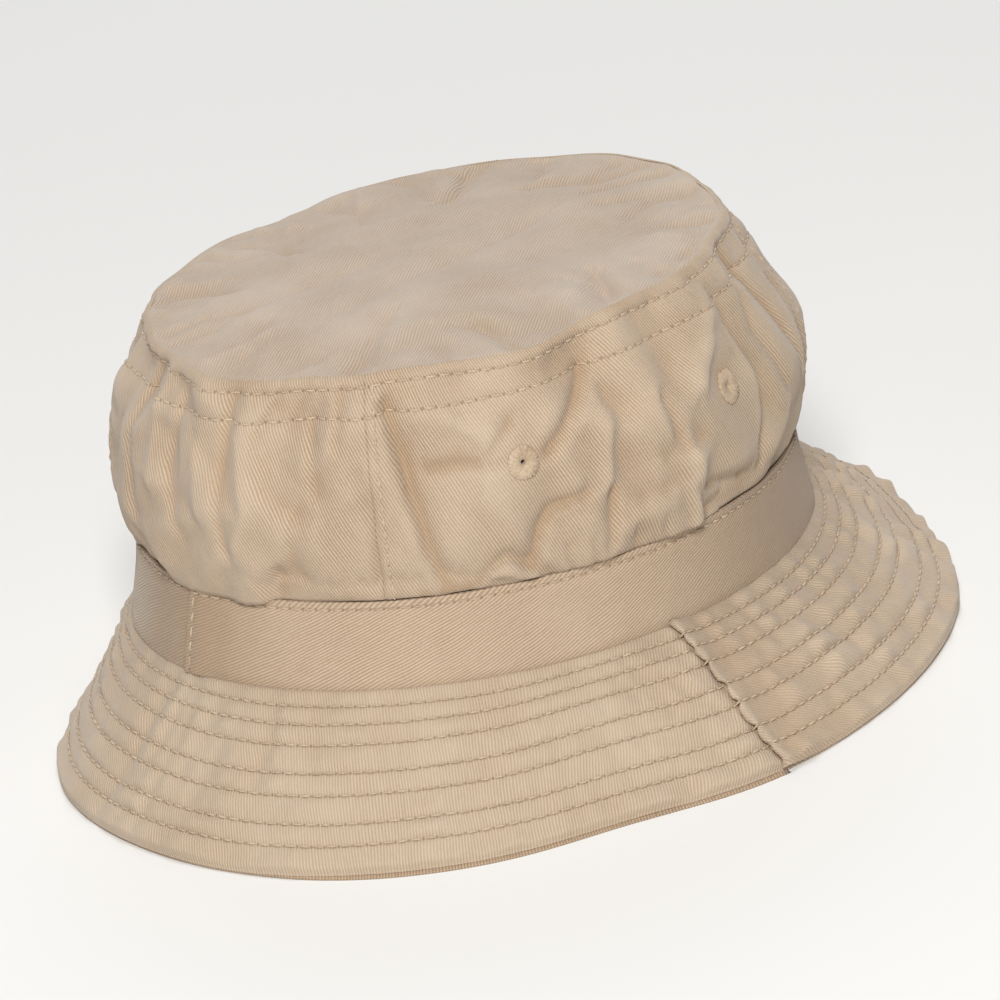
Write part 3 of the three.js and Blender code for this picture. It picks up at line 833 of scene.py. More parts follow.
# hat band: a folded strip round the foot of the crown, lapped at the back
bandCloth = {"step": 1.1, "low": -1.3, "wale": 25, "stitchDrop": 1.35, "lapRise": 1.15, "lapLength": 9.0,
             "overlap": 4.5, "thick": 1.0, "darker": ((88, 2.2, 15), (210, 2.0, 26))}
bandWave = noiseOver(21, crownOval.around, 30, 6, 12)
bandPucker = noiseOver(22, crownOval.around, 4.2, 12, 5)
bandStart = float(crownOval.lengthAt(math.pi / 2))  # the lapped end; the strip runs once round and under it
bandRow = crown["bandHeight"] - bandCloth["stitchDrop"]


def bandPoint(angle, height, offset):
    top = crown["bandHeight"]
    along = crownOval.lengthAt(angle)
    run = along - bandStart
    lap = bandCloth["lapRise"] * (1 - smooth((run - 3.5) / bandCloth["lapLength"]))
    pucker = bandPucker(along, height) * (bump(height, 20, 5) + bump(height, 0, 5))
    relief = 0.22 * bandWave(along, height) + 0.13 * pucker - 0.28 * bump(height, bandRow, 0.7)
    relief = relief + 0.25 * smooth((height - 14) / 8) - 0.35 * smooth((height - top + 0.5) / 0.6)
    relief = relief - 0.5 * smooth((-0.6 - height) / 0.8) - 0.3 * bump(run, crownRows["seamOffset"], 0.7)
    ends = 0.45 * (1 - smooth(run / 0.7))
    tucked = 0.75 * smooth((height - 20.9) / 1.0)  # the fold at the top slips up behind the crown cloth
    return wallPoint(angle, np.maximum(height, -3) + tucked, offset + relief + lap - ends)


def makeBand():
    top, low, step = crown["bandHeight"], bandCloth["low"], bandCloth["step"]
    lines = ruled(bandStart, bandStart + crownOval.around + bandCloth["overlap"], step, (bandStart,),
                  (0, 0.3, 0.7, 1.4, 2.0, 2.5, 3.0))
    heights = ruled(low, top, step, (bandRow, top, low), (-0.6, -0.3, 0, 0.3, 0.6, 1.0))
    along, height = np.meshgrid(lines, heights, indexing="ij")
    angle = crownOval.angleAt(along)
    rowPlace = lambda t, up: bandPoint(t, np.full_like(t, bandRow), up)
    edges, counted = stitchEdges(rowPlace, math.pi / 2 + 0.006, math.pi / 2 + turn - 0.004)
    joinAt = float(crownOval.angleAt(bandStart + crownRows["seamOffset"]))
    joinPlace = lambda t, up: bandPoint(np.full_like(t, joinAt), t, up)
    joinEdges = stitchEdges(joinPlace, 0.4, bandRow - 0.6)[0]
    counts = needleMarks([counted], angle, np.stack([height - bandRow]))
    fromJoin = np.abs(along - bandStart - crownRows["seamOffset"])
    nearJoin = (fromJoin < 1.2) & (counts[..., 1] > 1)
    counts = np.where(nearJoin[..., None], np.stack([height / stitch["pitch"], fromJoin], -1), counts)
    # painted shade at the band's foot by the brim and in the stitch row's groove
    hollow = 0.9 * bump(height, -0.6, 1.6) + 0.15 * bump(height, bandRow, 0.8)
    for at, depth, width in bandCloth["darker"]:  # painted shade where the crown hangs over it and the band turns from the light
        hollow = hollow + depth * bump(awayFrom(angle, at), 0, width)
    band = clothPiece("hatBand", bandPoint(angle, height, 0.0), bandPoint(angle, height, -bandCloth["thick"]),
                      *weaveAxes(along, height, bandCloth["wale"]), needle=counts, hollow=hollow)
    addPiece(band, ["hat_band"], "twill", "bandTwill")
    row = threadBodies(rowPlace, edges, 31, radius=0.28)
    addStitches("bandTopStitches", ["band_top_stitch"], [row])
    join = threadBodies(joinPlace, joinEdges, 32, radius=0.3, gap=0.06)
    addStitches("bandJoinStitches", ["band_join_stitch"], [join])


# brim: upper and under cloth in two halves each, quilted together in seven rows
brimCloth = {"step": 1.3, "slopeStep": 1.15, "underStep": 2.0, "slope": 50.0, "innerRadius": 126.0,
             "fan": 0.75, "wales": {"back": 35.6, "front": -14.0}, "middle": {"back": 90, "front": 270},
             "seams": {"back": (1.5, 177.6), "front": (177.6, 361.5)}, "runUnder": 1.8,
             "seamShadeAndHighlight": {"back": 4.5, "front": -2.5}}
brimFolds = [
    # paths of (angle in degrees, share of the slope from the crown), depth and width in mm
    ([(164, 0.18), (166, 0.36)], -0.9, 2.6),
    ([(168, 0.2), (170, 0.46)], -1.0, 2.8),
    ([(171, 0.28), (176, 0.62)], -1.1, 3.0),
    ([(91, 0.1), (91.5, 0.9)], 0.9, 2.6),
    ([(94, 0.15), (94.5, 0.95)], 0.7, 2.4),
    ([(97.5, 0.2), (97, 0.9)], 0.6, 2.6),
    ([(89, 0.1), (88, 1.0)], -1.2, 3.0),
    ([(103, 0.3), (106, 0.7)], -0.5, 4.0),
    ([(112, 0.1), (113, 0.45)], -0.6, 3.0),
    ([(121, 0.5), (124, 0.95)], -0.5, 4.0),
    ([(133, 0.12), (134, 0.4)], -0.6, 3.0),
    ([(146, 0.3), (149, 0.75)], -0.6, 4.0),
    ([(156, 0.55), (160, 1.0)], 0.6, 5.0),
    ([(183, 0.2), (186, 0.5)], -0.8, 3.0),
    ([(192, 0.55), (188, 0.9)], -0.6, 3.0),
    ([(204, 0.3), (200, 0.7)], -0.7, 3.4),
    ([(214, 0.35), (209, 0.8)], -0.7, 3.6),
    ([(225, 0.3), (221, 0.75)], -0.7, 3.6),
    ([(236, 0.5), (240, 1.0)], 0.8, 5.0),
]
brimCreases = []  # the same in mm along and across the slope
for path, depth, width in brimFolds:
    line = [(float(brimOval.lengthAt(math.radians(at))), share * brimCloth["slope"]) for at, share in path]
    brimCreases.append((line, depth, width))
brimBroad = noiseOver(51, brimOval.around, 46, 5, 25)
brimPucker = noiseOver(52, brimOval.around, 4.6, 16, 6.5)
brimFine = noiseOver(53, brimOval.around, 2.8, 20, 9)
rowWander = noiseOver(54, brimOval.around, 30, 5, 18)


def rowShift(angle, share):
    # the quilted rows climb a little towards the right side seam and wander slightly
    climb = 0.035 * bump(awayFrom(angle, 160), 0, 13) * bump(share, 0.5, 0.38)
    wander = 0.007 * rowWander(brimOval.lengthAt(angle), share * brimCloth["slope"])
    return (wander - climb) * smooth(share / 0.08) * smooth((1 - share) / 0.1)


def fromRows(share):
    return np.min([np.abs(share - row) for row in brim["rows"]], axis=0) * brimCloth["slope"]


def brimFrame(angle, share):
    # the point on the brim's straight slope, and the direction square to it
    inner = wallPoint(angle, -brim["top"], ply["panelInner"])
    outer = brimEdge(angle)
    flat = inner[..., :2] - outer[..., :2]
    run = np.linalg.norm(flat, axis=-1, keepdims=True)
    slope = np.hypot(run, inner[..., 2:])
    up = np.concatenate([-flat / run * inner[..., 2:], run], -1) / slope
    return inner + (outer - inner) * share[..., None], up


def brimRelief(angle, share, upper):
    along, across = brimOval.lengthAt(angle), share * brimCloth["slope"]
    nearest = fromRows(share)
    puff = smooth(nearest / 2.4)
    # the front half is puckered more than the back
    fromFront = awayFrom(angle, brimCloth["middle"]["front"])
    front = smooth((fromFront + 96) / 8) * smooth((96 - fromFront) / 8)
    ruffle = (0.62 + 0.45 * front) * brimPucker(along, across)
    ruffle = ruffle + (0.42 + 0.35 * front) * brimFine(along, across)
    relief = 0.24 * puff - 0.24 * bump(nearest, 0, 0.8) + ruffle * (0.16 + 0.84 * puff)
    relief = relief + foldsAt(brimCreases, along, across) * (0.6 + 0.4 * puff)
    if not upper:
        return np.maximum(relief, -0.1) * smooth((1 - share) / 0.12)
    relief = relief + 0.3 * bump(share, 0.955, 0.03)
    return np.maximum(relief, -0.7) * smooth(share / 0.05) * (1 - 0.8 * smooth((share - 0.955) / 0.04))


def brimPoint(angle, share, offset, upper=True, half=None):
    angle, share, offset = np.broadcast_arrays(angle, share, offset)
    base, up = brimFrame(angle, share + rowShift(angle, share))
    wave = 0.8 * brimBroad(brimOval.lengthAt(angle), share * brimCloth["slope"])
    wave = wave * smooth(share / 0.3) * smooth((1 - share) / 0.25)
    if upper:
        # the front half laps over the back one at the side seams, with a rolled edge
        leftSeam, rightSeam = brimCloth["seams"]["back"]
        right, left = awayFrom(angle, rightSeam), -awayFrom(angle, leftSeam)
        into = np.where(np.abs(right) < np.abs(left), right, left)
        lift = 1.35 * bump(np.maximum(into, 0), 0, 2.4) + 0.45 * bump(into, 0, 0.3)
        onFront = into >= -0.3 if half is None else half == "front"
        offset = offset + np.where(onFront, lift, -0.6 * bump(into, 0, 1.1))
        offset = offset - 1.05 * smooth((share - 0.968) / 0.03)  # both plies turn in at the edge
    points = base + (offset + brimRelief(angle, share, upper) + wave)[..., None] * up
    if not upper:
        points[..., 2] = np.maximum(points[..., 2], 0)
    return points


def brimWeave(along, share, half):
    # each half is cut from flat cloth, so its twill lines fan out round the brim
    fan = brimCloth["fan"] * (brimOval.angleAt(along) - math.radians(brimCloth["middle"][half]))
    radius = brimCloth["innerRadius"] + share * brimCloth["slope"]
    return weaveAxes(radius * np.cos(fan), radius * np.sin(fan), brimCloth["wales"][half])


def makeUpperBrim(half, lowAt, highAt, counted):
    if half == "back":
        # its ends run on a little under the front half
        lowAt, highAt = lowAt - brimCloth["runUnder"], highAt + brimCloth["runUnder"]
    lines = ruled(lowAt, highAt, brimCloth["step"], (lowAt, highAt), (0, 0.4, 0.9, 1.5, -0.4, -0.9, -1.5))
    step = brimCloth["slopeStep"] / brimCloth["slope"]
    shares = ruled(0, 1, step, brim["rows"], (-0.018, -0.008, 0, 0.008, 0.018))
    edge = [0.96, 0.97, 0.978, 0.984, 0.989, 0.993, 0.997, 1.0]
    shares = np.concatenate([shares[shares < 0.955], edge])[::-1]
    along, share = np.meshgrid(lines, shares, indexing="ij")
    nearest = fromRows(share)
    if half == "front":
        # the lapped edge bulges between rows
        uneven = noiseOver(57, 60, 3.0, 4, 4)
        scallop = 1.25 * smooth(nearest / 2.2) + 0.5 * uneven(share * brimCloth["slope"], share * 0)
        along = along - scallop * bump(along, lowAt, 2.5)
        along = along + scallop * bump(along, highAt, 2.5)
    angle = brimOval.angleAt(along)
    outer = brimPoint(angle, share, brim["top"], half=half)
    inner = brimPoint(angle, share, brim["top"] - brim["ply"] - 0.1, half=half)
    rowGaps = np.stack([(share - row) * brimCloth["slope"] for row in brim["rows"]])
    counts = needleMarks(counted, angle % turn, rowGaps)
    # painted shade in the stitch rows' grooves and low places, painted highlight on the puffs, and painted
    # shade at the brim's foot
    hollow = 0.35 * (1 - smooth(nearest / 2.0)) - 0.4 * (brimRelief(angle, share, True) - 0.2)
    hollow = hollow + 0.7 * bump(share * brimCloth["slope"], 0, 1.5)
    # painted shadow on the back half beside the side seam and a painted highlight on the front half's rolled
    # edge
    seamAway = awayFrom(angle, brimCloth["seams"]["back"][1]) * 2.0
    hollow = hollow + brimCloth["seamShadeAndHighlight"][half] * bump(seamAway, 0, 0.75)
    # painted shade on the front half near the seam at the wearer's right, where it bends from the light
    if half == "front":
        hollow = hollow + 1.3 * bump(awayFrom(angle, 180), 0, 13)
    across, wale = brimWeave(along, share, half)
    piece = clothPiece("brimUpper" + inCamel(half), outer, inner, across, wale, needle=counts, hollow=hollow)
    addPiece(piece, ["upper_brim_" + half], "twill", "brimTwill")


def makeUnderBrim(half, lowAt, highAt):
    shares = np.concatenate([np.linspace(0, 0.94, 32), [0.955, 0.97, 0.985, 1.0]])[::-1]
    along, share = np.meshgrid(ruled(lowAt, highAt, brimCloth["underStep"]), shares, indexing="ij")
    angle = brimOval.angleAt(along)
    # at the back its lip comes out past the upper cloth
    lip = 0.004 + 0.034 * smooth((np.degrees(angle) - 112) / 20) * (half == "back")
    reach = share + lip * smooth((share - 0.955) / 0.045)
    outer = brimPoint(angle, reach, 0.65 + 0.15 * smooth((share - 0.97) / 0.03), upper=False)
    inner = brimPoint(angle, reach, 0.0, upper=False)
    piece = clothPiece("brimUnder" + inCamel(half), outer, inner, *brimWeave(along, share, half))
    addPiece(piece, ["under_brim_" + half], "underside_twill", "underTwill")


def brimRowPlace(row, level, facing, upper):
    return lambda t, up: brimPoint(t, np.full_like(t, row), level + facing * up, upper=upper)


def makeBrim():
    rows = [stitchEdges(brimRowPlace(row, brim["top"], 1, True), 0, turn) for row in brim["rows"]]
    for half, seams in brimCloth["seams"].items():
        lowAt, highAt = brimOval.lengthAt(np.radians(seams))
        makeUpperBrim(half, lowAt, highAt, [counted for _, counted in rows])
        makeUnderBrim(half, lowAt, highAt)
    for number, (row, (edges, _)) in enumerate(zip(brim["rows"], rows), 1):
        above = threadBodies(brimRowPlace(row, brim["top"] + 0.14, 1, True), edges, 100 + number)
        below = threadBodies(brimRowPlace(row, 0.0, -1, False), edges, 120 + number)
        addStitches(f"brimRow{number}Stitches", [f"brim_stitch_{number}"], [above, below])


def makeInterlining():
    angles = np.linspace(0, turn, 240, endpoint=False)
    angle, share = np.meshgrid(angles, np.linspace(0.02, 0.86, 26)[::-1], indexing="ij")
    outer, inner = (brimPoint(angle, share, level, upper=False) for level in (1.05, 0.75))
    piece = clothPiece("brimInterlining", outer, inner, angle * 120, share * brimCloth["slope"], closed=True)
    addPiece(piece, ["brim_interlining"], "interlining", "interlining")


# inside: sweatband, tapes and labels
inside = {"step": 1.6, "sweatLow": -1.5, "sweatHigh": 27.5, "sweatRows": ((0.5, 83), (25.9, 84)),
          "tapeWidth": 11, "tipTape": (71.5, 80.6), "seamTape": (28.2, 71.0)}
sweatWave = noiseOver(81, crownOval.around, 28, 6, 12)
sweatFine = noiseOver(82, crownOval.around, 6, 12, 6)


def sweatPoint(angle, height, offset):
    # above the hat band it stands up straight and leans in a little
    above = np.maximum(0, height - crown["bandHeight"])
    along = crownOval.lengthAt(angle)
    relief = -0.5 * np.abs(sweatWave(along, height)) * smooth(height / 20) + 0.08 * sweatFine(along, height)
    points = wallPoint(angle, np.minimum(height, crown["bandHeight"]), offset + relief)
    inwards = (np.array([0, crown["setback"], 0]) - points) * np.array([1, 1, 0])
    points = points + inwards * (above * 0.0034)[..., None]
    points[..., 2] += above
    return points


def makeSweatband():
    start, end = math.pi / 2 + 0.002, math.pi / 2 + turn - 0.002
    low, high = inside["sweatLow"], inside["sweatHigh"]
    heights = ruled(low, high, inside["step"], (low, high, 0.5), (-0.7, -0.3, 0, 0.3, 0.7))
    angle, height = np.meshgrid(np.linspace(start, end, 330), heights, indexing="ij")
    thinner = 0.35 * (smooth((height - high + 0.7) / 0.7) + smooth((low + 0.7 - height) / 0.7))
    outer = sweatPoint(angle, height, ply["sweatOuter"] - thinner)
    inner = sweatPoint(angle, height, ply["sweatInner"] + thinner)
    piece = clothPiece("sweatband", outer, inner, *weaveAxes(crownOval.lengthAt(angle), height, 45))
    addPiece(piece, ["sweatband"], "sweatband_twill", "sweatTwill")
    bodies = []
    for level, seed in inside["sweatRows"]:
        place = lambda t, up: sweatPoint(t, np.full_like(t, level), ply["sweatInner"] - up)
        bodies.append(threadBodies(place, stitchEdges(place, start + 0.01, end - 0.01)[0], seed))
    addStitches("sweatbandStitches", ["sweatband_stitch"], bodies)


def makeTapePiece(name, node, angle, height, across, along, closed=False):
    outer, inner = (crownPoint(angle, height, ply[face], False) for face in ("tapeOuter", "tapeInner"))
    addPiece(clothPiece(name, outer, inner, across, along, closed=closed), [node], "tape", "tape", crush=True)


def makeTapes():
    angles = np.linspace(0, turn, 300, endpoint=False)
    angle, height = np.meshgrid(angles, np.linspace(*inside["tipTape"], 9), indexing="ij")
    along = crownOval.lengthAt(angle)
    makeTapePiece("tipSeamTape", "tip_seam_tape", angle, height, along, height, closed=True)
    for seam, at in panelSeams.items():
        middle = float(crownOval.lengthAt(math.radians(at)))
        lines = np.linspace(-0.5, 0.5, 8) * inside["tapeWidth"] + middle
        along, height = np.meshgrid(lines, np.linspace(*inside["seamTape"], 34), indexing="ij")
        angle = crownOval.angleAt(along)
        makeTapePiece("seamTape" + inCamel(seam), "seam_tape_" + seam, angle, height, height, along - middle)


# labels, all blank: one sewn flat on the sweatband, two caught by their top edge (width and height in mm)
labels = {"brand": (44, 17), "level": 5, "care": (30, 22), "size": (15, 14), "thick": 0.22, "hem": 1}


def makeSewnLabel():
    width, high = labels["brand"]
    hem, level = labels["hem"], labels["level"]
    middle = float(crownOval.lengthAt(math.pi / 2))
    lines = np.linspace(-0.5, 0.5, 45) * width + middle
    along, height = np.meshgrid(lines, np.linspace(0, high, 18) + level, indexing="ij")
    angle = crownOval.angleAt(along)
    sag = 0.12 * np.sin(along * 0.5) * np.sin(height * 0.7)
    outer = sweatPoint(angle, height, ply["sweatInner"] - 0.35 + sag * 0.5)
    inner = sweatPoint(angle, height, ply["sweatInner"] - 0.75 + sag)
    addPiece(clothPiece("brandLabel", outer, inner, along, height), ["brand_label"], "label", "label")
    half, tall = width / 2 - hem, high - 2 * hem
    corners = np.cumsum([0, 2 * half, tall, 2 * half, tall])

    def rim(t, up):
        x = np.interp(t, corners, [-half, half, half, -half, -half])
        y = np.interp(t, corners, [hem, hem, hem + tall, hem + tall, hem])
        return sweatPoint(crownOval.angleAt(middle + x), level + y, ply["sweatInner"] - 0.75 - up)

    row = threadBodies(rim, stitchEdges(rim, 0, corners[-1], 2.2)[0], 85, radius=0.22)
    addStitches("brandLabelStitches", [], [row])


def makeHangingLabel(name, node):
    low, high = (np.array(corner) * 1000 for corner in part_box(node))
    xs, zs = np.linspace(low[0] + 0.2, high[0] - 0.2, 28), np.linspace(low[2], high[2] - 0.1, 24)
    x, z = np.meshgrid(xs, zs, indexing="ij")
    fall = (high[2] - z) / (high[2] - low[2])
    curl = 0.75 * fall * np.sin(fall * 2.2)
    curl = curl + 0.35 * fall * np.sin((x - low[0]) / (high[0] - low[0]) * math.pi)
    y = (low[1] + high[1]) / 2 - curl
    front, back = (np.stack([x, y + side * labels["thick"] / 2, z], -1) for side in (-1, 1))
    piece = clothPiece(name + "Label", front, back, x, z)
    addPiece(piece, [node], "label", "label", body=node)


crownRowEdges = makeSideCrown()
print("side crown made")
makeCrownStitches(*crownRowEdges)
makeEyelets()
makeTip()
print("crown stitches, eyelets and tip made")
makeBand()
makeBrim()
makeInterlining()
print("band and brim made")
makeSweatband()
makeTapes()
makeSewnLabel()
makeHangingLabel("care", "care_label")
makeHangingLabel("size", "size_label")
print("inside and labels made")


def linear(hexColour):
    # an sRGB hex value to the linear colour that the shader takes
    parts = [int(hexColour[i:i + 2], 16) / 255 for i in (1, 3, 5)]
    return tuple(c / 12.92 if c <= 0.04045 else ((c + 0.055) / 1.055) ** 2.4 for c in parts) + (1.0,)


def addNode(tree, kind, settings, inputs, out=0):
    node = tree.nodes.new("ShaderNode" + kind)
    for key, value in settings.items():
        setattr(node, key, value)
    for key, value in inputs.items():
        if isinstance(value, bpy.types.NodeSocket):
            tree.links.new(value, node.inputs[key])
        else:
            node.inputs[key].default_value = value
    return node.outputs[out]


def startMaterial(name):
    material = bpy.data.materials.new(name)
    material.use_nodes = True
    tree = material.node_tree
    return material, tree, tree.nodes["Principled BSDF"]


def finishCloth(tree, shader, share, dark, colour, height, relief, rough, sheen=0.0):
    # two colours mixed by a share and a low relief from a height, on a matt shader
    tint = addNode(tree, "Mix", {"data_type": "RGBA"}, {0: share, 6: linear(dark), 7: linear(colour)}, 2)
    raised = addNode(tree, "Bump", {}, {"Height": height, **relief})
    tree.links.new(tint, shader.inputs["Base Color"])
    tree.links.new(raised, shader.inputs["Normal"])
    shader.inputs["Roughness"].default_value = rough
    shader.inputs["Sheen Weight"].default_value = sheen


# Washed cotton twill: a matt cloth with slanting wales 0.8 mm apart, pale on the ridges and browner in the
# gaps, with a painted highlight on what stands out and painted shade in the folds
twillLook = {"ridge": "#c3ae96", "gap": "#988066", "warm": "#9f8060", "pale": "#cab8a3", "hole": "#6e5641",
             "walePitch": 0.8, "threadPitch": 0.55, "sheen": 0.22, "foldShadeMax": 0.42}


def makeTwill(name, ridge, gap, warm, pale, contrast=1.0, fade=1.0):
    material, tree, shader = startMaterial(name)
    times, plus, fold = {"operation": "MULTIPLY"}, {"operation": "ADD"}, {"operation": "PINGPONG"}
    timesPlus, flat, blend = {"operation": "MULTIPLY_ADD"}, {"noise_dimensions": "2D"}, {"data_type": "RGBA"}
    smoothStep = {"interpolation_type": "SMOOTHSTEP"}
    weave = addNode(tree, "UVMap", {"uv_map": "weave"}, {})
    needle = addNode(tree, "UVMap", {"uv_map": "needle"}, {})
    hollow = addNode(tree, "Attribute", {"attribute_name": "hollow"}, {}, "Fac")
    place = addNode(tree, "TexCoord", {}, {}, "Object")
    # the yarn wanders a little, so wales aren't ruled lines
    sway = addNode(tree, "TexNoise", flat, {"Vector": weave, "Scale": 0.045, "Detail": 1.0})
    acrossWale, alongWale = addNode(tree, "SeparateXYZ", {}, {0: weave}).node.outputs[:2]
    swayed = addNode(tree, "Math", timesPlus, {0: sway, 1: 2.0, 2: acrossWale})
    wale = addNode(tree, "Math", fold, {0: swayed, 1: twillLook["walePitch"] / 2})
    wale = addNode(tree, "MapRange", smoothStep, {"Value": wale, "From Max": twillLook["walePitch"] / 2})
    # single threads slant across each wale
    slant = addNode(tree, "Math", timesPlus, {0: acrossWale, 1: 0.7, 2: alongWale})
    yarn = addNode(tree, "Math", fold, {0: slant, 1: twillLook["threadPitch"] / 2})
    yarn = addNode(tree, "Math", times, {0: yarn, 1: 0.56 / twillLook["threadPitch"]})
    height = addNode(tree, "Math", timesPlus, {0: wale, 1: 0.72, 2: yarn})
    # thick and thin places of the yarn: streaks that follow the wales, and a finer grain
    stretched = addNode(tree, "Mapping", {}, {"Vector": weave, "Scale": (1.25, 0.16, 1.0)})
    slubNoise = {"Vector": stretched, "Scale": 1.0, "Detail": 3.0, "Roughness": 0.6}
    slub = addNode(tree, "TexNoise", flat, slubNoise)
    grain = addNode(tree, "TexNoise", flat, {"Vector": weave, "Scale": 1.7, "Detail": 2.0})
    weight = addNode(tree, "Math", timesPlus, {0: grain, 1: 0.5, 2: 0.05})
    weight = addNode(tree, "Math", timesPlus, {0: slub, 1: 0.4, 2: weight})
    seen = addNode(tree, "Math", times, {0: height, 1: weight})
    seenRange = {"Value": seen, "From Min": 0.06, "From Max": 0.42, "To Min": 1 - contrast}
    seen = addNode(tree, "MapRange", {}, seenRange)
    colour = addNode(tree, "Mix", blend, {0: seen, 6: linear(gap), 7: linear(ridge)}, 2)
    # uneven washing, some 30 mm across
    cloud = addNode(tree, "TexNoise", {}, {"Vector": place, "Scale": 33.0, "Detail": 4.0, "Roughness": 0.55})
    cloudRange = {"Value": cloud, "From Min": 0.35, "From Max": 0.68, "To Max": 0.34 * fade}
    cloud = addNode(tree, "MapRange", {}, cloudRange)
    colour = addNode(tree, "Mix", blend, {0: cloud, 6: colour, 7: linear(pale)}, 2)
    # painted shade: the folds' hollows are mixed towards the shade colour
    folded = {"Value": hollow, "From Min": 0.15, "From Max": 1.8, "To Max": twillLook["foldShadeMax"]}
    deep = addNode(tree, "MapRange", {}, folded)
    colour = addNode(tree, "Mix", blend, {0: deep, 6: colour, 7: linear(warm)}, 2)
    # painted highlight: what stands out above its surroundings is mixed towards the pale colour
    proudRange = {"Value": hollow, "From Min": -0.1, "From Max": -1.4, "To Max": 0.3}
    proud = addNode(tree, "MapRange", {}, proudRange)
    colour = addNode(tree, "Mix", blend, {0: proud, 6: colour, 7: linear(pale)}, 2)
    # a needle hole between each two stitches, a dark dot of painted shade in the hole
    count, aside = addNode(tree, "SeparateXYZ", {}, {0: needle}).node.outputs[:2]
    run = addNode(tree, "Math", fold, {0: count, 1: 0.5})
    run = addNode(tree, "Math", times, {0: run, 1: stitch["pitch"]})
    run = addNode(tree, "Math", times, {0: run, 1: run})
    aside = addNode(tree, "Math", times, {0: aside, 1: aside})
    reach = addNode(tree, "Math", plus, {0: run, 1: aside})
    holeRange = {"Value": reach, "From Min": 0.36, "From Max": 0.04, "To Max": 0.5}
    hole = addNode(tree, "MapRange", smoothStep, holeRange)
    colour = addNode(tree, "Mix", blend, {0: hole, 6: colour, 7: linear(twillLook["hole"])}, 2)
    tree.links.new(colour, shader.inputs["Base Color"])
    rough = addNode(tree, "MapRange", {}, {"Value": seen, "To Min": 0.96, "To Max": 0.86})
    tree.links.new(rough, shader.inputs["Roughness"])
    shader.inputs["Sheen Weight"].default_value = twillLook["sheen"]
    shader.inputs["Sheen Roughness"].default_value = 0.55
    shader.inputs["Specular IOR Level"].default_value = 0.25
    fuzz = addNode(tree, "TexNoise", {}, {"Vector": place, "Scale": 900.0, "Detail": 2.0})
    relief = addNode(tree, "Math", {"operation": "SUBTRACT"}, {0: height, 1: hole})
    relief = addNode(tree, "Math", timesPlus, {0: fuzz, 1: 0.25, 2: relief})
    raised = addNode(tree, "Bump", {}, {"Height": relief, "Strength": 0.75, "Distance": 0.00016})
    tree.links.new(raised, shader.inputs["Normal"])
    return material


# Sewing thread: spun cotton-wrapped thread, soft, darker and paler along its length
def makeThread(name, colour, dark):
    material, tree, shader = startMaterial(name)
    place = addNode(tree, "TexCoord", {}, {}, "Object")
    fibre = addNode(tree, "TexNoise", {}, {"Vector": place, "Scale": 1400.0, "Detail": 2.0})
    tone = addNode(tree, "TexNoise", {}, {"Vector": place, "Scale": 120.0, "Detail": 2.0})
    share = addNode(tree, "Math", {"operation": "ADD"}, {0: fibre, 1: tone})
    share = addNode(tree, "MapRange", {}, {"Value": share, "From Min": 0.72, "From Max": 1.24})
    finishCloth(tree, shader, share, dark, colour, fibre, {"Strength": 0.6, "Distance": 0.0001}, 0.7, 0.2)
    return material


# Woven cotton tape: a plain ribbed weave, ribs 0.9 mm apart and single threads 0.6 mm apart
def makeTape(name, colour, dark, pitch=0.9, weftPitch=0.6):
    material, tree, shader = startMaterial(name)
    weave = addNode(tree, "UVMap", {"uv_map": "weave"}, {})
    place = addNode(tree, "TexCoord", {}, {}, "Object")
    across, along = addNode(tree, "SeparateXYZ", {}, {0: weave}).node.outputs[:2]
    rib = addNode(tree, "Math", {"operation": "PINGPONG"}, {0: across, 1: pitch / 2})
    weft = addNode(tree, "Math", {"operation": "PINGPONG"}, {0: along, 1: weftPitch / 2})
    height = addNode(tree, "Math", {"operation": "MULTIPLY_ADD"}, {0: rib, 1: 1.4 / pitch, 2: weft})
    noise = addNode(tree, "TexNoise", {}, {"Vector": place, "Scale": 160.0, "Detail": 3.0})
    share = addNode(tree, "Math", {"operation": "MULTIPLY"}, {0: height, 1: noise})
    share = addNode(tree, "MapRange", {}, {"Value": share, "From Min": 0.05, "From Max": 0.5})
    finishCloth(tree, shader, share, dark, colour, height, {"Strength": 0.6, "Distance": 0.00015}, 0.85, 0.15)
    return material


# Woven polyester label: smooth satin with threads 0.3 mm apart, left blank
def makeLabelSatin(name, colour, dark, pitch=0.3):
    material, tree, shader = startMaterial(name)
    weave = addNode(tree, "UVMap", {"uv_map": "weave"}, {})
    along = addNode(tree, "SeparateXYZ", {}, {0: weave}, 1)
    thread = addNode(tree, "Math", {"operation": "PINGPONG"}, {0: along, 1: pitch / 2})
    thread = addNode(tree, "MapRange", {}, {"Value": thread, "From Max": pitch / 2})
    finishCloth(tree, shader, thread, dark, colour, thread, {"Strength": 0.3, "Distance": 0.00008}, 0.5)
    return material


# Bonded nonwoven interlining: pressed white fibres, cloudy where they bunch
def makeNonwoven(name, colour, dark):
    material, tree, shader = startMaterial(name)
    place = addNode(tree, "TexCoord", {}, {}, "Object")
    fibre = addNode(tree, "TexNoise", {}, {"Vector": place, "Scale": 500.0, "Detail": 5.0, "Distortion": 1.2})
    finishCloth(tree, shader, fibre, dark, colour, fibre, {"Strength": 0.4, "Distance": 0.0002}, 0.9)
    return material


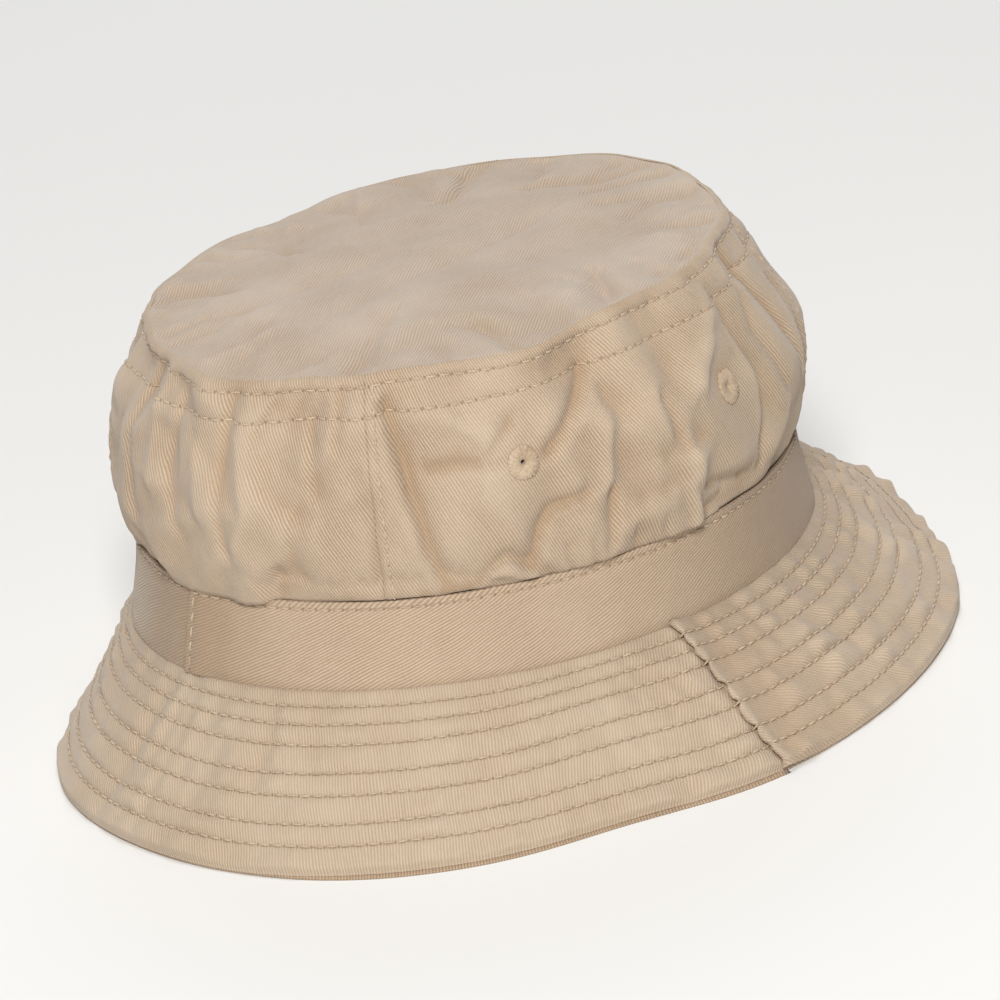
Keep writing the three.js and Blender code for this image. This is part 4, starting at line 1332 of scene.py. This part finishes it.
ridge, gap, warm, pale = (twillLook[part] for part in ("ridge", "gap", "warm", "pale"))
# the tip, band, brim and underside copies are one cloth in colours set part by part for the light each part
# gets: the differences between them are painted light and shade, with the greyer tip standing for whiter light
# on top and the band's darkest colour for its painted shade
tipColours = ("#bcaa97", "#98816a", "#9c836b", "#c5b7a8")
bandColours = ("#c8b39b", "#9b8167", "#82664a", "#cdb9a1")
brimColours = ("#c3b099", "#a18970", "#a08468", "#ccbca8")
undersideColours = ("#c2ab91", "#997e62", "#9f7d5c", "#cab69e")
sweatbandColours = ("#c9b69d", "#a78e71", "#a5876b", "#d0c0ab")
materials = {
    "crownTwill": makeTwill("washedTwillCrown", ridge, gap, warm, pale),
    "tipTwill": makeTwill("washedTwillTip", *tipColours, contrast=0.8, fade=1.4),
    "bandTwill": makeTwill("washedTwillBand", *bandColours, contrast=0.9, fade=0.6),
    "brimTwill": makeTwill("washedTwillBrim", *brimColours, contrast=0.85),
    "underTwill": makeTwill("washedTwillUnderside", *undersideColours, fade=0.5),
    "sweatTwill": makeTwill("sweatbandTwill", *sweatbandColours, contrast=0.8, fade=0.5),
    "thread": makeThread("sewingThread", "#c9b59b", "#ab9175"),
    "eyeletThread": makeThread("eyeletThread", "#c3ae94", "#a58b6f"),
    "tape": makeTape("cottonTape", "#c5b196", "#9c8467"),
    "label": makeLabelSatin("labelSatin", "#e8e4db", "#d2ccc0"),
    "interlining": makeNonwoven("nonwovenInterlining", "#f1eee6", "#d8d2c4"),
}
print("materials made")

# every piece on its body; the pieces above the band get a mesh of their own
ends = np.array([0.0, math.pi])
bandTop, tipLevel = (wallPoint(ends, crown[level], 0.0).mean(0) for level in ("bandHeight", "height"))
for piece, nodes, slot, material, body, crush in made:
    piece.data.materials.append(materials[material])
    if nodes:
        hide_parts(*nodes)
    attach(piece, body)
    if crush:
        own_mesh(piece)
print(len(made), "pieces placed, with", sum(len(entry[0].data.polygons) for entry in made), "faces")

# studio: a pale floor and four soft lights
studio = {"floor": "#e9e8e6", "size": 12, "sky": 0.105, "aim": (0, 0, 0.05), "lights": (
    # name, place (m), size (m), power (W), colour
    ("overhead", (0.15, -0.1, 1.9), 1.0, 13.5, (0.98, 0.99, 1.0)),
    ("front", (-1.2, 1.0, 1.45), 0.5, 34.5, (1.0, 0.99, 0.97)),
    ("low", (-1.5, 1.2, 0.35), 0.8, 5.5, (1.0, 0.99, 0.98)),
    ("back", (1.1, -0.9, 1.1), 1.0, 8.0, (0.98, 0.99, 1.0)),
)}


def makeStudio():
    bpy.ops.mesh.primitive_plane_add(size=studio["size"])
    floor = bpy.context.active_object
    floor.name = "studioFloor"
    material, tree, shader = startMaterial("paleFloor")
    shader.inputs["Base Color"].default_value = linear(studio["floor"])
    shader.inputs["Roughness"].default_value = 0.9
    shader.inputs["Specular IOR Level"].default_value = 0.1
    floor.data.materials.append(material)
    world = bpy.data.worlds.new("studioAir")
    bpy.context.scene.world = world
    world.use_nodes = True
    air = world.node_tree.nodes["Background"]
    air.inputs["Color"].default_value = (1, 1, 1, 1)
    air.inputs["Strength"].default_value = studio["sky"]
    for name, place, size, power, colour in studio["lights"]:
        data = bpy.data.lights.new(name, "AREA")
        data.size, data.energy, data.color = size, power, colour
        light = bpy.data.objects.new(name, data)
        bpy.context.scene.collection.objects.link(light)
        light.location = place
        light.rotation_euler = (light.location - Vector(studio["aim"])).to_track_quat("Z", "Y").to_euler()
    bpy.context.scene.view_settings.view_transform = "Standard"


makeStudio()
